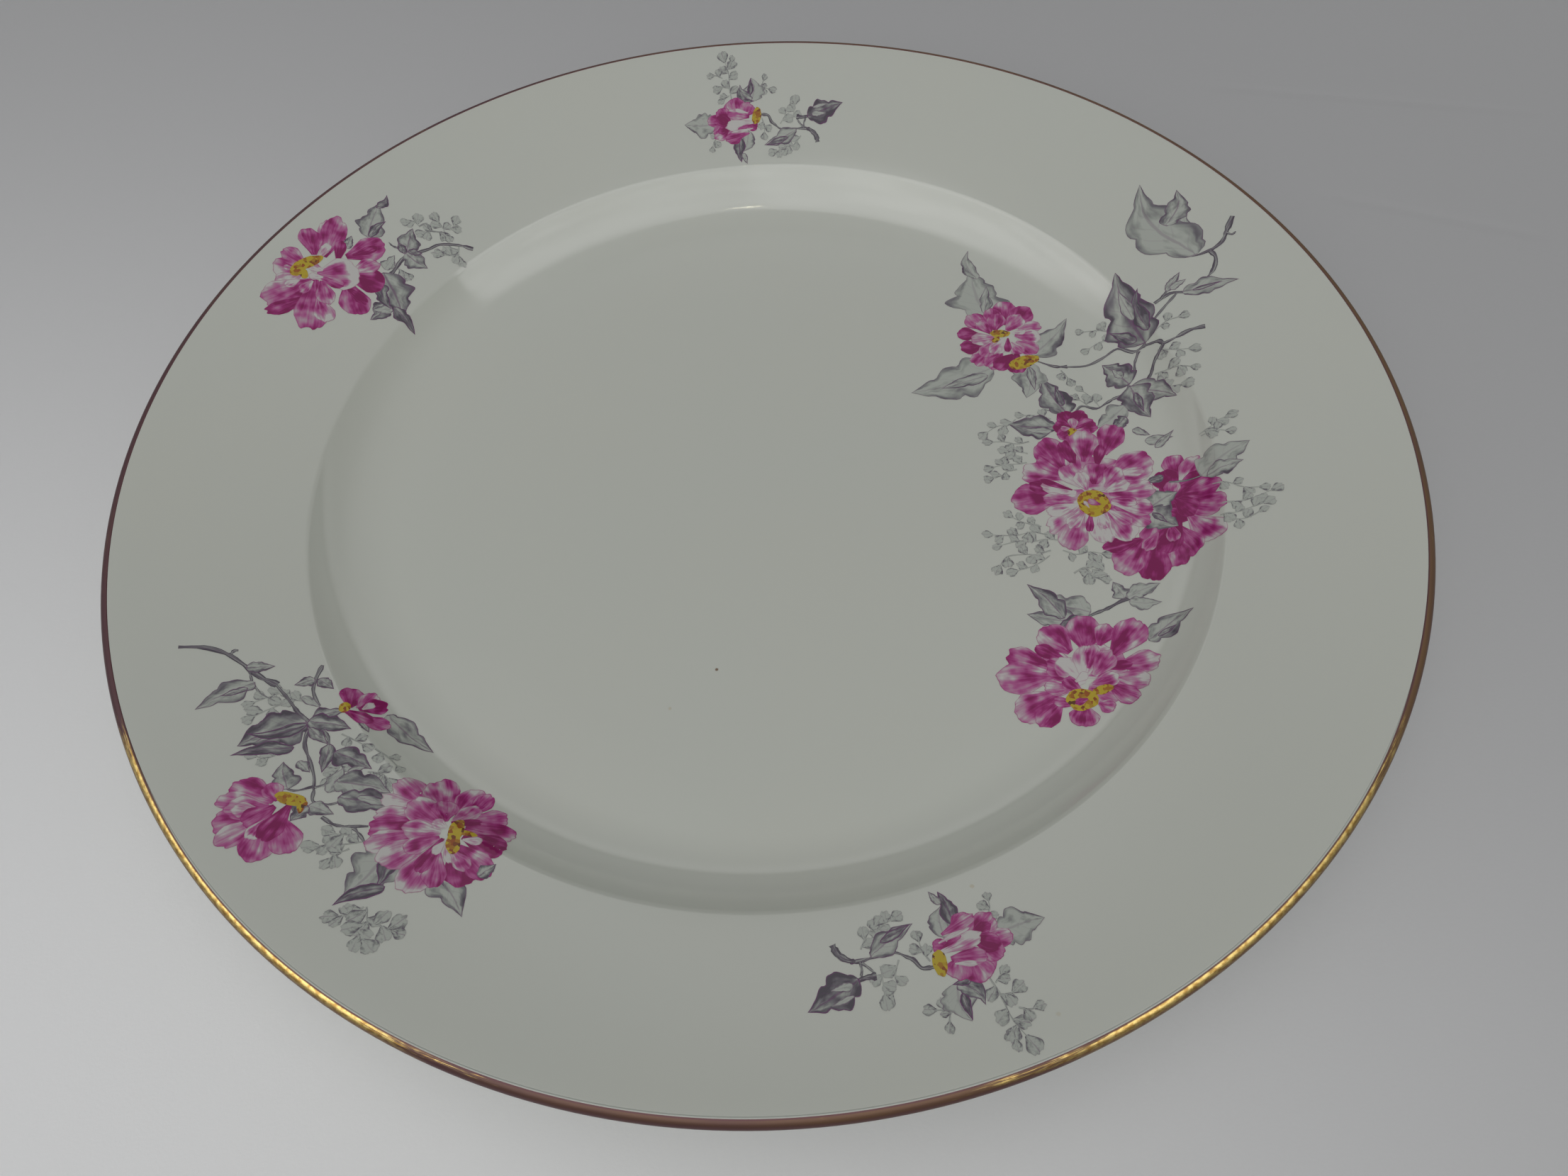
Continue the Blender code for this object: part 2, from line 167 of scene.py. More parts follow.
def turned(name, profile, closed):
    """Turns a profile of (radius, height) points about +Z. Points on the axis become one vertex."""
    form = bmesh.new()
    rings = []
    for point in profile:
        if point.x < MM:
            rings.append([form.verts.new((0.0, 0.0, point.y * MM))])
            continue
        turns = [math.tau * i / TURN_STEPS for i in range(TURN_STEPS)]
        ring = [(point.x * math.cos(t) * MM, point.x * math.sin(t) * MM, point.y * MM) for t in turns]
        rings.append([form.verts.new(place) for place in ring])
    pairs = list(zip(rings, rings[1:]))
    if closed:
        pairs.append((rings[-1], rings[0]))
    for inner, outer in pairs:
        for i in range(TURN_STEPS):
            quad = ((inner, i), (outer, i), (outer, i + 1), (inner, i + 1))
            corners = [ring[j % len(ring)] for ring, j in quad]
            form.faces.new(list(dict.fromkeys(corners)))
    bmesh.ops.recalc_face_normals(form, faces=form.faces)
    mesh = bpy.data.meshes.new(name)
    form.to_mesh(mesh)
    form.free()
    mesh.shade_smooth()
    obj = bpy.data.objects.new(name, mesh)
    bpy.context.scene.collection.objects.link(obj)
    return obj


# ---------------------------------------------------------------- shader helper


class Shader:
    """Short calls that add nodes to one material. Each takes sockets or numbers and returns a socket."""

    def __init__(self, name):
        self.material = bpy.data.materials.new(name)
        self.material.use_nodes = True
        self.tree = self.material.node_tree
        self.surface = self.tree.nodes["Principled BSDF"]

    def feed(self, socket, value):
        if isinstance(value, bpy.types.NodeSocket):
            self.tree.links.new(value, socket)
        else:
            socket.default_value = value

    def set(self, **values):
        """Sets or links inputs of the Principled shader: Base_Color=..., Roughness=..."""
        for name, value in values.items():
            self.feed(self.surface.inputs[name.replace("_", " ")], value)

    def math(self, operation, a, b=0.0):
        node = self.tree.nodes.new("ShaderNodeMath")
        node.operation = operation
        self.feed(node.inputs[0], a)
        self.feed(node.inputs[1], b)
        return node.outputs[0]

    def add(self, *terms):
        total = terms[0]
        for term in terms[1:]:
            total = self.math("ADD", total, term)
        return total

    def times(self, a, b):
        return self.math("MULTIPLY", a, b)

    def centred(self, value, gain):
        """A 0 to 1 value turned into one that swings gain / 2 either side of 0."""
        return self.times(self.math("SUBTRACT", value, 0.5), gain)

    def smooth(self, value, low, high, out_low=0.0, out_high=1.0):
        node = self.tree.nodes.new("ShaderNodeMapRange")
        node.interpolation_type = "SMOOTHSTEP"
        self.feed(node.inputs["Value"], value)
        names = ("From Min", "From Max", "To Min", "To Max")
        for name, number in zip(names, (low, high, out_low, out_high)):
            self.feed(node.inputs[name], number)
        return node.outputs["Result"]

    def mix(self, factor, a, b):
        node = self.tree.nodes.new("ShaderNodeMix")
        node.data_type = "RGBA"
        self.feed(node.inputs[0], factor)
        self.feed(node.inputs[6], a)
        self.feed(node.inputs[7], b)
        return node.outputs[2]

    def ramp(self, factor, stops):
        node = self.tree.nodes.new("ShaderNodeValToRGB")
        self.feed(node.inputs[0], factor)
        points = node.color_ramp.elements
        while len(points) < len(stops):
            points.new(0.5)
        for point, (place, colour) in zip(points, stops):
            point.position = place
            point.color = colour
        return node.outputs[0]

    def position(self):
        """The place on the object, in metres."""
        return self.tree.nodes.new("ShaderNodeTexCoord").outputs["Object"]

    def parts(self, vector):
        node = self.tree.nodes.new("ShaderNodeSeparateXYZ")
        self.feed(node.inputs[0], vector)
        return node.outputs

    def vector(self, x, y, z):
        node = self.tree.nodes.new("ShaderNodeCombineXYZ")
        for socket, value in zip(node.inputs, (x, y, z)):
            self.feed(socket, value)
        return node.outputs[0]

    def attribute(self, name):
        node = self.tree.nodes.new("ShaderNodeAttribute")
        node.attribute_name = name
        return node.outputs["Vector"]

    def noise(self, vector, scale, detail=2.0, roughness=0.5):
        node = self.tree.nodes.new("ShaderNodeTexNoise")
        self.feed(node.inputs["Vector"], vector)
        node.inputs["Scale"].default_value = scale
        node.inputs["Detail"].default_value = detail
        node.inputs["Roughness"].default_value = roughness
        return node.outputs["Fac"]

    def cells(self, vector, scale):
        node = self.tree.nodes.new("ShaderNodeTexVoronoi")
        self.feed(node.inputs["Vector"], vector)
        node.inputs["Scale"].default_value = scale
        return node

    def math_vector(self, operation, a, b):
        node = self.tree.nodes.new("ShaderNodeVectorMath")
        node.operation = operation
        self.feed(node.inputs[0], a)
        self.feed(node.inputs[1], b)
        return node.outputs[0]

    def distance(self, vector, place):
        node = self.tree.nodes.new("ShaderNodeVectorMath")
        node.operation = "DISTANCE"
        self.feed(node.inputs[0], vector)
        node.inputs[1].default_value = place
        return node.outputs["Value"]

    def bump(self, height, strength, depth):
        node = self.tree.nodes.new("ShaderNodeBump")
        self.feed(node.inputs["Height"], height)
        node.inputs["Strength"].default_value = strength
        node.inputs["Distance"].default_value = depth
        return node.outputs["Normal"]


def grey(value):
    return (value, value, value, 1.0)


# ---------------------------------------------------------------- body

# Iron specks under the glaze: place on the plate, radius, strength, colour.
IRON = (0.16, 0.07, 0.02, 1.0)
OCHRE = (0.50, 0.40, 0.20, 1.0)
SPECKS = [
    ((-11.2, -43.7), 0.42, 0.9, IRON),
    ((-20.3, -51.3), 0.45, 0.35, OCHRE),
    ((30.2, -91.6), 0.5, 0.4, OCHRE),
    ((38.7, -114.0), 0.5, 0.25, OCHRE),
]
PORCELAIN = (0.62, 0.645, 0.585, 1.0)
PORCELAIN_WARM = (0.635, 0.645, 0.572, 1.0)
BISCUIT = (0.62, 0.585, 0.51, 1.0)
BARE_FOOT_HEIGHT = 0.7
GLAZE_IOR = 1.53
GLAZE_ROUGHNESS = 0.075
BISCUIT_ROUGHNESS = 0.75


def glaze_material():
    """Greenish-white glazed porcelain, with faint mottling, a few iron specks and a bare foot."""
    shader = Shader("white_glaze")
    place = shader.position()
    colour = shader.mix(shader.noise(place, 22.0, 3.0), PORCELAIN, PORCELAIN_WARM)
    for (x, y), radius, strength, speck in SPECKS:
        centre = (x * MM, y * MM, surface_height(math.hypot(x, y)) * MM)
        ragged = shader.centred(shader.noise(place, 2600.0, 1.0), 0.5 * radius * MM)
        away = shader.add(shader.distance(place, centre), ragged)
        cover = shader.smooth(away, 0.4 * radius * MM, radius * MM, strength, 0.0)
        colour = shader.mix(cover, colour, speck)
    edge = shader.centred(shader.noise(place, 160.0, 2.0), 0.3 * MM)
    height = shader.add(shader.parts(place)[2], edge)
    glazed = shader.smooth(height, (BARE_FOOT_HEIGHT - 0.15) * MM, (BARE_FOOT_HEIGHT + 0.1) * MM)
    shader.set(Base_Color=shader.mix(glazed, BISCUIT, colour))
    shader.set(Roughness=shader.smooth(glazed, 0.0, 1.0, BISCUIT_ROUGHNESS, GLAZE_ROUGHNESS))
    ripple = shader.times(shader.noise(place, 55.0, 2.0), glazed)
    grit = shader.times(shader.noise(place, 2500.0, 2.0), shader.math("SUBTRACT", 1.0, glazed))
    height = shader.add(ripple, shader.times(grit, 0.4))
    shader.set(Normal=shader.bump(height, 0.35, 0.08 * MM))
    shader.surface.inputs["IOR"].default_value = GLAZE_IOR
    return shader.material


def surface_height(radius):
    """Height of the glazed upper face at a distance from the plate's axis."""
    for inner, outer in zip(UPPER_SURFACE, UPPER_SURFACE[1:]):
        if radius <= outer.x:
            share = (radius - inner.x) / (outer.x - inner.x)
            return inner.y + (outer.y - inner.y) * share
    return UPPER_SURFACE[-1].y


def surface_slope(radius):
    """Rise of the upper face per millimetre outwards."""
    reach = 0.2
    return (surface_height(radius + reach) - surface_height(radius - reach)) / (2 * reach)


def on_glaze(x, y, lift):
    """The point above (x, y) that stands the lift off the glaze, square to it, in metres."""
    radius = math.hypot(x, y)
    slope = surface_slope(radius)
    length = math.hypot(1.0, slope)
    outward = -slope / length * lift / max(radius, 1.0)
    return Vector((x + x * outward, y + y * outward, surface_height(radius) + lift / length)) * MM


def make_body():
    lip = lip_arc(GLAZE_LIP_RADIUS, 90, -90)
    upper = divided(UPPER_SURFACE, FLOOR_EDGE_RADIUS / FLOOR_RINGS)
    under = divided(UNDER_SURFACE, FLOOR_EDGE_RADIUS / FLOOR_RINGS)
    body = turned("glazed_body", upper + lip[1:-1] + under, False)
    body.data.materials.append(glaze_material())
    finish_piece(body, "white_glaze", "porcelain_body")


def finish_piece(piece, slot, *nodes):
    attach(piece, BODY)
    if nodes:
        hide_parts(*nodes)


# ---------------------------------------------------------------- gilt line

GOLD = (0.31, 0.19, 0.055, 1.0)
GOLD_PALE = (0.54, 0.40, 0.145, 1.0)
WORN_GOLD = (0.14, 0.075, 0.032, 1.0)
STAINED_GOLD = (0.070, 0.027, 0.032, 1.0)
# The thin dark line where the film ends, and the painted shade along both edges of the lip.
MAROON_LINE_AND_SHADE = (0.085, 0.03, 0.035, 1.0)
WORN_IOR = 1.35
GOLD_ROUGHNESS = 0.36
WORN_ROUGHNESS = 0.42
WORN_METALLIC = 0.2
# Where the film ends on the lip: degrees above the rim's own direction.
GILT_TOP_EDGE = 80.0
# The line is least worn at these two turns round the plate, in degrees from +X.
KEPT_TURNS = (-133, -55)


def gilding_material():
    """Burnished gold, brown where hands and stacking have rubbed it, and dark along its edges: a thin dark
    line where the film ends, and painted shade along both edges for the dark room that the lip mirrors.

    Along the near side the inner edge has gone altogether, and the glaze shows.
    """
    shader = Shader("gilding")
    place = shader.position()
    x, y, z = shader.parts(place)[:3]
    radius = shader.math("SQRT", shader.add(shader.times(x, x), shader.times(y, y)))
    centre = LIP_CENTRE * MM
    out = shader.math("SUBTRACT", radius, centre.x)
    up = shader.math("SUBTRACT", z, centre.y)
    across = shader.add(shader.times(out, -ALONG_RIM.y), shader.times(up, ALONG_RIM.x))
    across = shader.math("DIVIDE", across, GILT_LIP_RADIUS * MM)
    around = shader.math("ARCTAN2", y, x)
    round_the_lip = shader.vector(shader.times(around, 8.0), shader.times(across, 0.8), 0.0)
    rubbed = shader.noise(round_the_lip, 1.1, 4.0, 0.6)
    fine = shader.vector(shader.times(around, 14.0), shader.times(across, 9.0), 0.0)
    scratches = shader.noise(fine, 2.0, 3.0)
    scuffs = shader.add(shader.centred(rubbed, 1.5), shader.centred(scratches, 1.0))
    wear = shader.smooth(shader.add(scuffs, worn_share(shader, around)), 0.35, 0.65)
    long = shader.vector(shader.times(around, 60.0), shader.times(across, 1.6), 0.0)
    streaks = shader.noise(long, 1.6, 3.0)
    gold = shader.mix(shader.smooth(streaks, 0.36, 0.60), GOLD, GOLD_PALE)
    blotches = shader.centred(shader.noise(round_the_lip, 0.7, 2.0), 1.6)
    stain = shader.add(blotches, shader.smooth(x, 0.06, -0.09))
    colour = shader.mix(wear, gold, shader.mix(stain, WORN_GOLD, STAINED_GOLD))
    near_side = shader.smooth(y, -0.09, -0.05, 0.09, 0.0)
    inward = shader.add(across, near_side)
    # Inner edge: a thin dark line where the film ends, widened by painted shade. Outer edge: painted shade
    # over the lip's outward curve.
    inner_line_and_shade = shader.smooth(inward, 0.90, 0.97)
    bare = shader.smooth(inward, 1.0, 1.03)
    outer_painted_shade = shader.smooth(shader.math("DIVIDE", out, GILT_LIP_RADIUS * MM), 0.62, 0.90, 0.0, 0.8)
    edge = shader.math("MAXIMUM", inner_line_and_shade, outer_painted_shade)
    colour = shader.mix(shader.times(edge, 0.9), colour, MAROON_LINE_AND_SHADE)
    shader.set(Base_Color=shader.mix(bare, colour, PORCELAIN))
    # The painted shade along the edges also takes away the metal there, as the wear does.
    metal = shader.smooth(shader.math("MAXIMUM", wear, edge), 0.0, 1.0, 1.0, WORN_METALLIC)
    shader.set(Metallic=shader.times(metal, shader.math("SUBTRACT", 1.0, bare)))
    dull = shader.smooth(wear, 0.0, 1.0, GOLD_ROUGHNESS, WORN_ROUGHNESS)
    shiny = shader.smooth(bare, 0.0, 1.0, 1.0, GLAZE_ROUGHNESS)
    shader.set(Roughness=shader.math("MINIMUM", dull, shiny))
    shader.set(Normal=shader.bump(scratches, 0.25, 0.02 * MM))
    shader.surface.inputs["IOR"].default_value = WORN_IOR
    return shader.material


def worn_share(shader, around):
    """How worn the line is round the plate: least at the two kept turns, most away from them."""
    aside = [shader.math("SUBTRACT", around, math.radians(turn)) for turn in KEPT_TURNS]
    nearest = shader.math("MINIMUM", *[shader.math("ABSOLUTE", turn) for turn in aside])
    return shader.smooth(nearest, math.radians(8), math.radians(28), 0.20, 0.90)


def make_gilt_line():
    outer = lip_arc(GILT_LIP_RADIUS, GILT_TOP_EDGE, -90)
    inner = lip_arc(GILT_BACK_RADIUS, -90, GILT_TOP_EDGE)
    line = turned("gilt_line", outer + inner, True)
    line.data.materials.append(gilding_material())
    finish_piece(line, "gilding", "gilt_lip_band")


# ---------------------------------------------------------------- fired sprays: shapes

# Every spray is a flat mosaic. Its shapes are laid over each other in order, and where they overlap only
# the topmost is kept. Each shape knows its outline and, for any point, how far along and across it lies.
DECAL_LIFT = 0.05
MOSAIC_STEP = 1.15
VERGE_STEP = 0.7
VERGE_ZONE = (80.0, 97.0)
INK_WIDTH = 0.17
CLEARANCE = 0.00001


def wave(*place):
    """A smooth random value between about -1 and 1."""
    spot = list(place) + [0.37] * (3 - len(place))
    return noise.noise(Vector(spot))


class Shape:
    """What petals, leaves and patches share: a start, a length and a direction, and half the width."""

    def __init__(self, start, tip, width, seed):
        self.start = Vector(start)
        axis = Vector(tip) - self.start
        self.length = axis.length
        self.half_width = width / 2
        self.axis = axis.normalized()
        self.side = Vector((-self.axis.y, self.axis.x))
        self.seed = seed


class Petal(Shape):
    """A fan that opens from its base to a ruffled rim."""

    BACK = 0.3
    SIDE_STEPS = 6
    RIM_STEPS = 18

    def __init__(self, base, tip, width, seed, ruffle=0.13):
        super().__init__(base, tip, width, seed)
        self.origin = self.start - (Vector(tip) - self.start) * self.BACK
        self.spread = math.atan2(self.half_width, (self.BACK + 0.62) * self.length)
        self.ruffle = ruffle
        self.lean = 0.12 * wave(seed * 3.3)

    def reach(self, across):
        """Length of the petal on one of its rays, as a share of its full length."""
        ruffles = 0.6 * wave(across * 1.9, self.seed) + 0.5 * wave(across * 4.6, self.seed + 9.0)
        return 1.0 - 0.34 * abs(across) ** 3 + self.ruffle * ruffles

    def opening(self, share):
        return self.spread * (0.66 + 0.34 * math.sin(math.pi * 0.85 * min(share, 1.1)))

    def place(self, share, across):
        turn = across * self.opening(share) + self.lean * share
        distance = (self.BACK + share) * self.length
        return self.origin + (self.axis * math.cos(turn) + self.side * math.sin(turn)) * distance

    def outline(self, inset=0.0):
        edge = 1.0 - inset / self.half_width
        sides = []
        for across in (-edge, edge):
            end = self.reach(across) - inset / self.length
            sides.append([self.place(end * i / self.SIDE_STEPS, across) for i in range(self.SIDE_STEPS)])
        rim = []
        for i in range(self.RIM_STEPS + 1):
            across = edge * (2 * i / self.RIM_STEPS - 1)
            rim.append(self.place(self.reach(across) - inset / self.length, across))
        return sides[0] + rim + sides[1][::-1]

    def coords(self, point):
        """(along, across): 0 to 1 from base to rim, -1 to 1 from side to side."""
        away = point - self.origin
        share = away.length / self.length - self.BACK
        turn = math.atan2(away.dot(self.side), away.dot(self.axis)) - self.lean * share
        across = max(-1.0, min(1.0, turn / self.opening(max(share, 0.0))))
        return share / self.reach(across), across


class Leaf(Shape):
    """A blade with a curved midrib, a round shoulder, scalloped lobes and a drawn-out tip."""

    STEPS = 26
    LOBE_DEPTH = 0.34

    def __init__(self, base, tip, width, seed, bend=0.0, ruffle=0.30):
        super().__init__(base, tip, width, seed)
        self.bend = bend
        self.ruffle = ruffle
        self.lobes = 0 if width < 3.0 else min(3.4, 1.2 + width * 0.2)

    def midrib(self, share):
        return self.bend * self.length * math.sin(math.pi * min(share, 1.0) ** 1.3)

    def half(self, share, side):
        """Half the blade's width at a share of its length, on the side of that sign."""
        if not 0.0 < share < 1.0:
            return 0.02
        blade = math.sin(math.pi * share**0.68) ** 0.9 * (1.0 - 0.35 * share**3)
        ripples = wave(share * 3.1, self.seed, side) + 0.6 * wave(share * 8.3, self.seed, side + 4)
        edge = 1.0 + self.ruffle * ripples
        if self.lobes:
            lobe = abs(math.sin(math.pi * (self.lobes * share**0.9 + 0.3 * side + wave(self.seed, side))))
            edge *= 1.06 - self.LOBE_DEPTH * (1.0 - lobe) ** 1.7
        return max(0.02, self.half_width * blade * edge)

    def place(self, share, across, inset=0.0):
        reach = max(0.0, self.half(share, across) - inset) * across
        return self.start + self.axis * self.length * share + self.side * (self.midrib(share) + reach)

    def outline(self, inset=0.0):
        ends = inset / self.length
        shares = [ends + (1 - 2 * ends) * i / self.STEPS for i in range(self.STEPS + 1)]
        right = [self.place(share, -1, inset) for share in shares]
        left = [self.place(share, 1, inset) for share in shares[-2:0:-1]]
        return right + left

    def coords(self, point):
        away = point - self.start
        share = away.dot(self.axis) / self.length
        offset = away.dot(self.side) - self.midrib(max(0.0, share))
        side = 1 if offset > 0 else -1
        return share, max(-1.0, min(1.0, offset / self.half(share, side)))


class Stem:
    """A brushed line along a smooth route, thinning towards its end."""

    SMOOTHING = 4

    def __init__(self, points, width, seed, thin=0.55):
        route = [Vector(p) for p in points]
        ends = [route[0] * 2 - route[1]] + route + [route[-1] * 2 - route[-2]]
        self.route = []
        for a, b, c, d in zip(ends, ends[1:], ends[2:], ends[3:]):
            for i in range(self.SMOOTHING):
                self.route.append(on_spline(a, b, c, d, i / self.SMOOTHING))
        self.route.append(route[-1])
        self.width = width
        self.thin = thin
        self.seed = seed

    def half(self, share):
        knots = 1.05 + 0.75 * wave(share * 12.0, self.seed)
        return self.width / 2 * (1.0 + (self.thin - 1.0) * share) * knots

    def outline(self, inset=0.0):
        left = []
        right = []
        last = len(self.route) - 1
        for i, point in enumerate(self.route):
            along = (self.route[min(i + 1, last)] - self.route[max(i - 1, 0)]).normalized()
            side = Vector((-along.y, along.x)) * (self.half(i / last) - inset)
            left.append(point + side)
            right.append(point - side)
        return right + left[::-1]

    def coords(self, point):
        last = len(self.route) - 1
        nearest = min(range(last + 1), key=lambda i: (self.route[i] - point).length_squared)
        along = self.route[min(nearest + 1, last)] - self.route[max(nearest - 1, 0)]
        away = point - self.route[nearest]
        side = (along.x * away.y - along.y * away.x) / along.length
        return nearest / last, max(-1.0, min(1.0, side / self.half(nearest / last)))


def on_spline(a, b, c, d, share):
    """The point between b and c on the smooth curve through a, b, c and d."""
    straight = b * 2
    first = (c - a) * share
    second = (a * 2 - b * 5 + c * 4 - d) * share**2
    third = (b * 3 - a - c * 3 + d) * share**3
    return (straight + first + second + third) / 2


class Patch(Shape):
    """A ragged oval, as a tuft of stamens makes."""

    STEPS = 22

    def __init__(self, centre, tip, width, seed, ragged=0.16):
        super().__init__(centre, tip, width, seed)
        self.ragged = ragged

    def outline(self, inset=0.0):
        points = []
        for i in range(self.STEPS):
            turn = math.tau * i / self.STEPS
            size = 1.0 + self.ragged * wave(math.cos(turn) * 1.7, math.sin(turn) * 1.7, self.seed)
            long = math.cos(turn) * (self.length * size - inset)
            wide = math.sin(turn) * (self.half_width * size - inset)
            points.append(self.start + self.axis * long + self.side * wide)
        return points

    def coords(self, point):
        away = point - self.start
        long = away.dot(self.axis) / self.length
        wide = away.dot(self.side) / self.half_width
        return math.hypot(long, wide), math.atan2(wide, long) / math.pi


# ---------------------------------------------------------------- fired sprays: paints

# tone from white to deep, shade added towards the rim (or towards the base where negative), pale hem,
# and the share of the outline's ink.
PETAL_PAINTS = {
    "deep": (0.92, -0.10, 0.00, 0.9),
    "mid": (0.62, -0.25, 0.10, 0.8),
    "rose": (0.48, -0.10, 0.35, 0.7),
    "pale": (0.30, 0.20, 0.30, 0.7),
    "white": (0.05, 0.25, 0.20, 0.5),
    "hem": (0.50, -0.45, 0.95, 0.5),
    "tipped": (0.42, 0.75, 0.00, 0.8),
}
STAMEN_TONE = 0.5
LEAF_SHADE = 0.1
# A leaf's outline is inked by this share, and by this much more for each unit of tone.
LEAF_INK = 0.30
LEAF_INK_GAIN = 0.9
# Stems are brushed a little wider and darker than their rows say.
STEM_SWELL = 1.1
STEM_DEEPER = 0.16
# A sprig's stalk and leaflets. The leaflets turn off the stalk by a random angle in degrees.
STALK_WIDTH = 0.26
SPRIG_TONE = 0.75
LEAFLET_TURNS = (38, 72)
LEAFLET_REACHES = (1.0, 1.4)
LEAFLET_TONES = (-0.08, 0.10)
LEAFLET_WIDTH = 1.15
LEAFLET_RUFFLE = 0.3
LEAFLET_SHADE = -0.3
LEAFLET_INK = 0.15


class Spray:
    """Collects the shapes of one spray in painting order, each with the piece that it belongs to."""

    def __init__(self, place=(0.0, 0.0), turn=0.0):
        self.shapes = []
        self.place = Vector(place)
        self.turn = math.radians(turn)
        self.piece = None
        self.rng = random.Random(7)

    def moved(self, point):
        return rotated(Vector(point), self.turn) + self.place

    def next_seed(self):
        return self.rng.uniform(0.0, 40.0)

    def add(self, shape, tone, shade, hem, ink, warm):
        self.shapes.append((shape, self.piece, (tone, shade, hem), (ink, warm, shape.seed)))

    def petals(self, piece, rows):
        self.piece = piece
        for paint, base, tip, width in rows:
            petal = Petal(self.moved(base), self.moved(tip), width, self.next_seed())
            self.add(petal, *PETAL_PAINTS[paint], 0.0)

    def stamens(self, piece, rows):
        self.piece = piece
        for centre, tip, width in rows:
            patch = Patch(self.moved(centre), self.moved(tip), width, self.next_seed())
            self.add(patch, STAMEN_TONE, 0.0, 0.0, 0.0, 1.0)

    def leaves(self, piece, rows):
        """Rows of base, tip, width, tone and bend."""
        self.piece = piece
        for base, tip, width, tone, bend in rows:
            leaf = Leaf(self.moved(base), self.moved(tip), width, self.next_seed(), bend)
            self.add(leaf, tone, LEAF_SHADE, 0.0, LEAF_INK + LEAF_INK_GAIN * tone, 0.0)

    def stems(self, piece, rows):
        """Rows of width, tone and the points of the route."""
        self.piece = piece
        for width, tone, points in rows:
            stem = Stem([self.moved(p) for p in points], STEM_SWELL * width, self.next_seed())
            self.add(stem, tone + STEM_DEEPER, 0.0, 0.0, 0.0, 0.0)

    def sprigs(self, piece, rows):
        """Rows of leaflet count, size, tone and the stalk's points. Leaflets take alternate sides."""
        self.piece = piece
        for count, size, tone, points in rows:
            stalk = Stem([self.moved(p) for p in points], STALK_WIDTH, self.next_seed())
            self.add(stalk, SPRIG_TONE * tone, 0.0, 0.0, 0.0, 0.0)
            last = len(stalk.route) - 1
            for i in range(count):
                share = (i + 0.6) / count
                at = round(share * last)
                node = stalk.route[at]
                ahead = stalk.route[min(at + 1, last)] - stalk.route[at - 1]
                side = 1 if i % 2 else -1
                turn = side * math.radians(self.rng.uniform(*LEAFLET_TURNS)) * (i < count - 1)
                way = rotated(ahead.normalized(), turn)
                reach = size * self.rng.uniform(*LEAFLET_REACHES)
                base = node + way * 0.1
                tip = node + way * (0.2 + reach)
                leaflet = Petal(base, tip, reach * LEAFLET_WIDTH, self.next_seed(), LEAFLET_RUFFLE)
                leaflet_tone = SPRIG_TONE * tone + self.rng.uniform(*LEAFLET_TONES)
                self.add(leaflet, leaflet_tone, LEAFLET_SHADE, 0.0, LEAFLET_INK, 0.0)


# ---------------------------------------------------------------- fired sprays: mosaic


def anticlockwise(points):
    area = sum(a.x * b.y - b.x * a.y for a, b in zip(points, points[1:] + points[:1]))
    return points if area > 0 else points[::-1]


def steps_between(values, step):
    return range(math.ceil(min(values) / step), math.floor(max(values) / step) + 1)


def fill_points(outlines):
    """Loose points over the shapes, closer together where the surface curves at the verge."""
    points = []
    for step, inside_zone in ((MOSAIC_STEP, False), (VERGE_STEP, True)):
        taken = set()
        for outline in outlines:
            columns = steps_between([p.x for p in outline], step)
            rows = steps_between([p.y for p in outline], step)
            taken.update((column, row) for row in rows for column in columns)
        for column, row in sorted(taken):
            point = Vector(((column + 0.5 * (row % 2) + 0.13) * step, (row + 0.17) * step))
            in_zone = VERGE_ZONE[0] < point.length < VERGE_ZONE[1]
            if in_zone == inside_zone:
                points.append(point)
    return points


def mosaic(shapes):
    """Cuts overlapping shapes into one flat layer. Returns its points, and rows of triangle and owner."""
    points = []
    faces = []
    owners = []
    outlines = []
    for index, (shape, piece, look, marks) in enumerate(shapes):
        rings = [(0.0, marks[0])]
        if marks[0] > 0.0:
            rings.append((INK_WIDTH, 0.0))
        for inset, ink in rings:
            outline = anticlockwise(shape.outline(inset))
            faces.append(list(range(len(points), len(points) + len(outline))))
            points += outline
            owners.append((index, ink))
        outlines.append(anticlockwise(shape.outline()))
    points += fill_points(outlines)
    flat, _, triangles, _, _, sources = geometry.delaunay_2d_cdt(points, [], faces, 1, CLEARANCE, True)
    rows = [(triangle, owners[max(source)]) for triangle, source in zip(triangles, sources) if source]
    return flat, rows


def draped_piece(name, flat, rows, shapes, material):
    """One piece of a spray as a mesh laid on the glaze, with its paint stored at each face corner."""
    used = {}
    faces = []
    place = []
    look = []
    marks = []
    for triangle, (index, ink) in rows:
        shape, _, shape_look, shape_marks = shapes[index]
        faces.append([used.setdefault(corner, len(used)) for corner in triangle])
        for corner in triangle:
            along, across = shape.coords(flat[corner])
            place += (along, across, shape_marks[2])
            look += shape_look
            marks += (ink, shape_marks[1], 0.0)
    corners = [flat[corner] for corner in used]
    mesh = bpy.data.meshes.new(name)
    mesh.from_pydata([on_glaze(p.x, p.y, DECAL_LIFT) for p in corners], [], faces)
    for attribute_name, values in (("place", place), ("look", look), ("marks", marks)):
        attribute = mesh.attributes.new(attribute_name, "FLOAT_VECTOR", "CORNER")
        attribute.data.foreach_set("vector", values)
    mesh.materials.append(material)
    mesh.shade_smooth()
    mesh.normals_split_custom_set_from_vertices([glaze_normal(p.x, p.y) for p in corners])
    obj = bpy.data.objects.new(name, mesh)
    bpy.context.scene.collection.objects.link(obj)
    return obj


def glaze_normal(x, y):
    radius = max(math.hypot(x, y), 1.0)
    slope = surface_slope(radius)
    return Vector((-slope * x / radius, -slope * y / radius, 1.0)).normalized()


